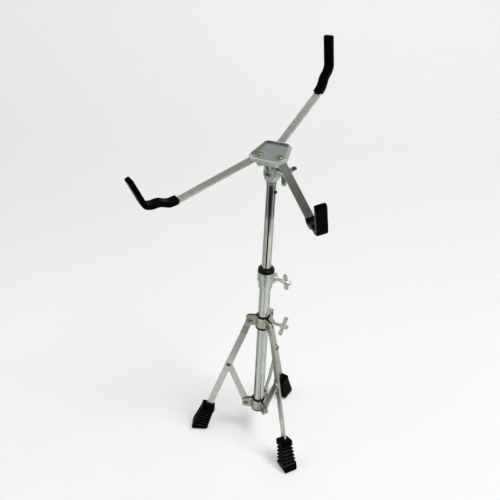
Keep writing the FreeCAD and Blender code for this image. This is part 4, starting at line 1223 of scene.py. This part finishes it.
@dataclass
class Studio:
    """Floor, backdrop, lamps and camera, with a dark flag over the backdrop for the right arm to mirror.

    Attributes:
        floor_half: half the floor's width in metres, the unit of all sizes but the camera's.
        floor_front: the floor's front edge.
        sweep: radius of the floor's sweep into the backdrop, and where it starts behind the pipe.
        shown_floor: how much paler the floor looks than it is lit, before the stand.
        shown_back: the same behind the stand.
        shown_wall: what the backdrop adds to that.
        pale_span: where the floor goes over from shown_floor to shown_back.
        wall_span: where the backdrop's share fades in.
        room_strength: strength of the room's light.
        shown_room: strength with which the room is seen and mirrored.
        flag: lower left and upper right corner of the flag, as (x, z).
        flag_back: how far the flag is behind the pipe.
        card_step: about how many degrees of a card's curved edge go into one step.
        card_lift: height of the cards over the floor.
        lamp_aim: the point that the lamps face.
    """

    camera_mm: Place = (-28.9, -919.6, 946.3)
    yaw: float = -0.66
    pitch: float = 30.75
    roll: float = 2.25
    focal_px: float = 710.53
    centre_px: tuple[float, float] = (242.12, 234.49)
    image_px: float = 500.0
    sensor_mm: float = 36.0
    floor: str = "#e4e4e4"
    floor_half: float = 4.0
    floor_front: float = -3.0
    sweep: float = 1.2
    sweep_steps: int = 12
    backdrop_top: float = 4.0
    shown_floor: float = 0.31
    shown_back: float = 0.295
    shown_wall: float = 0.075
    pale_span: tuple[float, float] = (0.18, 0.52)
    wall_span: tuple[float, float] = (0.8, 2.1)
    room: str = "#ececec"
    room_strength: float = 0.34
    shown_room: float = 0.82
    flag: tuple[tuple[float, float], tuple[float, float]] = ((-1.25, 3.12), (0.1, 4.8))
    flag_back: float = 2.2
    flag_tone: str = "#464c40"
    card_step: float = 6.0
    card_lift: float = 0.001
    lamp_aim: Place = (0.0, 0.0, 0.3)

    def add_camera(self) -> None:
        """Set the camera where the photograph was taken from."""
        data = bpy.data.cameras.new("studio_camera")
        data.sensor_width = self.sensor_mm
        data.sensor_fit = "HORIZONTAL"
        data.lens = self.sensor_mm * self.focal_px / self.image_px
        data.shift_x = (self.image_px / 2 - self.centre_px[0]) / self.image_px
        data.shift_y = (self.centre_px[1] - self.image_px / 2) / self.image_px
        camera = put("studio_camera", data)
        camera.matrix_world = frame_of(
            *self.camera_mm, ("Z", -self.yaw), ("X", 90 - self.pitch), ("Z", self.roll))
        bpy.context.scene.camera = camera

    def add_floor(self) -> None:
        """Lay a pale floor that rises into a backdrop."""
        profile = [(self.floor_front, 0.0), (self.sweep, 0.0)]
        for step in range(1, self.sweep_steps + 1):
            turn = math.radians(90 * step / self.sweep_steps)
            profile.append((self.sweep * (1 + math.sin(turn)), self.sweep * (1 - math.cos(turn))))
        profile.append((2 * self.sweep, self.backdrop_top))
        points = [(x, y, z) for y, z in profile for x in (-self.floor_half, self.floor_half)]
        faces = [(left, left + 1, left + 3, left + 2) for left in range(0, len(points) - 2, 2)]
        mesh = bpy.data.meshes.new("studio_floor")
        mesh.from_pydata(points, [], faces)
        mesh.shade_smooth()
        mesh.materials.append(self.floor_material())
        floor = put("studio_floor", mesh)

    def floor_material(self) -> bpy.types.Material:
        """Mix the floor's matt paint, which looks paler than it is lit and a little darker behind the stand.

        Returns:
            The material.
        """
        material = bpy.data.materials.new("matt_white_studio_floor")
        material.use_nodes = True
        tree = material.node_tree
        shader = tree.nodes["Principled BSDF"]
        shader.inputs["Base Color"].default_value = linear(self.floor)
        shader.inputs["Roughness"].default_value = 0.9
        shader.inputs["Specular IOR Level"].default_value = 0.05
        spot = add(tree, "ShaderNodeNewGeometry", {}, {})
        split = add(tree, "ShaderNodeSeparateXYZ", {}, {0: spot.outputs["Position"]})
        paler = add(tree, "ShaderNodeMapRange", {}, {
            "Value": split.outputs["Y"], "From Min": self.pale_span[0], "From Max": self.pale_span[1],
            "To Min": self.shown_floor, "To Max": self.shown_back})
        wall = add(tree, "ShaderNodeMapRange", {}, {
            "Value": split.outputs["Y"], "From Min": self.wall_span[0], "From Max": self.wall_span[1],
            "To Max": self.shown_wall})
        both = add(tree, "ShaderNodeMath", {"operation": "ADD"}, {
            0: paler.outputs["Result"], 1: wall.outputs["Result"]})
        amount = add(tree, "ShaderNodeMath", {"operation": "MULTIPLY"}, {
            0: both.outputs["Value"], 1: seen(tree)})
        shader.inputs["Emission Color"].default_value = linear("#ffffff")
        tree.links.new(amount.outputs["Value"], shader.inputs["Emission Strength"])
        return material

    def add_card(self, number: int, card: Card) -> None:
        """Lay a card on the floor.

        Args:
            number: its number in the set.
            card: its tone and place.
        """
        width = card.stop - card.start
        count = max(2, round(width / self.card_step))
        turns = [math.radians(card.start + width * step / count) for step in range(count + 1)]
        points = [(reach * math.sin(turn), -reach * math.cos(turn), self.card_lift)
                  for reach in card.ring.value for turn in turns]
        faces = [(step, step + 1, count + step + 2, count + step + 1) for step in range(count)]
        self.add_felt(f"mirror_card_{number}", points, faces, card.tone)

    def add_flag(self) -> None:
        """Hang the dark flag over the backdrop."""
        (left, low), (right, high) = self.flag
        corners = [(x, self.flag_back, z) for x, z in ((left, low), (right, low), (right, high), (left, high))]
        self.add_felt("black_flag", corners, [(0, 1, 2, 3)], self.flag_tone)

    def add_felt(self, name: str, points: Sequence[Place], faces: Sequence[tuple[int, ...]], tone: str) -> None:
        """Add a sheet of felt that only the metal mirrors: unseen by the camera and without a shadow.

        Args:
            name: the sheet's name.
            points: its corners in metres.
            faces: its faces, as numbers of corners.
            tone: its colour.
        """
        mesh = bpy.data.meshes.new(name)
        mesh.from_pydata(points, [], faces)
        material = bpy.data.materials.new(f"{name}_felt")
        material.use_nodes = True
        shader = material.node_tree.nodes["Principled BSDF"]
        shader.inputs["Base Color"].default_value = linear(tone)
        shader.inputs["Roughness"].default_value = 1.0
        shader.inputs["Specular IOR Level"].default_value = 0.0
        mesh.materials.append(material)
        piece = put(name, mesh)
        piece.visible_camera = False
        piece.visible_diffuse = False
        piece.visible_shadow = False

    def add_lamp(self, lamp: Lamp) -> None:
        """Hang one lamp so that it faces the stand.

        Args:
            lamp: its size, power and place.
        """
        data = bpy.data.lights.new(lamp.name, "AREA")
        data.size = lamp.size
        data.energy = lamp.power
        light = put(lamp.name, data)
        light.location = lamp.spot
        way = Vector(self.lamp_aim) - Vector(lamp.spot)
        light.rotation_euler = way.to_track_quat("-Z", "Y").to_euler()
        light.visible_diffuse = lamp.lights
        light.visible_glossy = lamp.mirrored

    def add_world(self) -> None:
        """Fill the room with an even pale light that looks brighter than it lights."""
        world = bpy.data.worlds.new("studio_world")
        world.use_nodes = True
        tree = world.node_tree
        shade = tree.nodes["Background"]
        shade.inputs["Color"].default_value = linear(self.room)
        strength = add(tree, "ShaderNodeMapRange", {}, {
            "Value": seen(tree), "To Min": self.room_strength, "To Max": self.shown_room})
        tree.links.new(strength.outputs["Result"], shade.inputs["Strength"])
        bpy.context.scene.world = world

    def build(self) -> None:
        """Set up the whole studio."""
        bpy.context.scene.view_settings.view_transform = "Standard"
        self.add_camera()
        self.add_floor()
        self.add_world()
        for number, card in enumerate(CARDS, 1):
            self.add_card(number, card)
        self.add_flag()
        for lamp in LAMPS:
            self.add_lamp(lamp)


def main() -> None:
    """Build every sub-assembly, then the studio."""
    logging.basicConfig(level=logging.INFO, format="%(name)s: %(message)s")
    repeater = Repeater("copies_on_points")
    rivets = Rivets(repeater)
    basket = Basket()
    parts = (rivets, Feet(rivets), basket, Turnings(basket), Threads(repeater, basket), Hardware(basket),
             Studio())
    for part in parts:
        part.build()


if __name__ == "__main__":
    main()
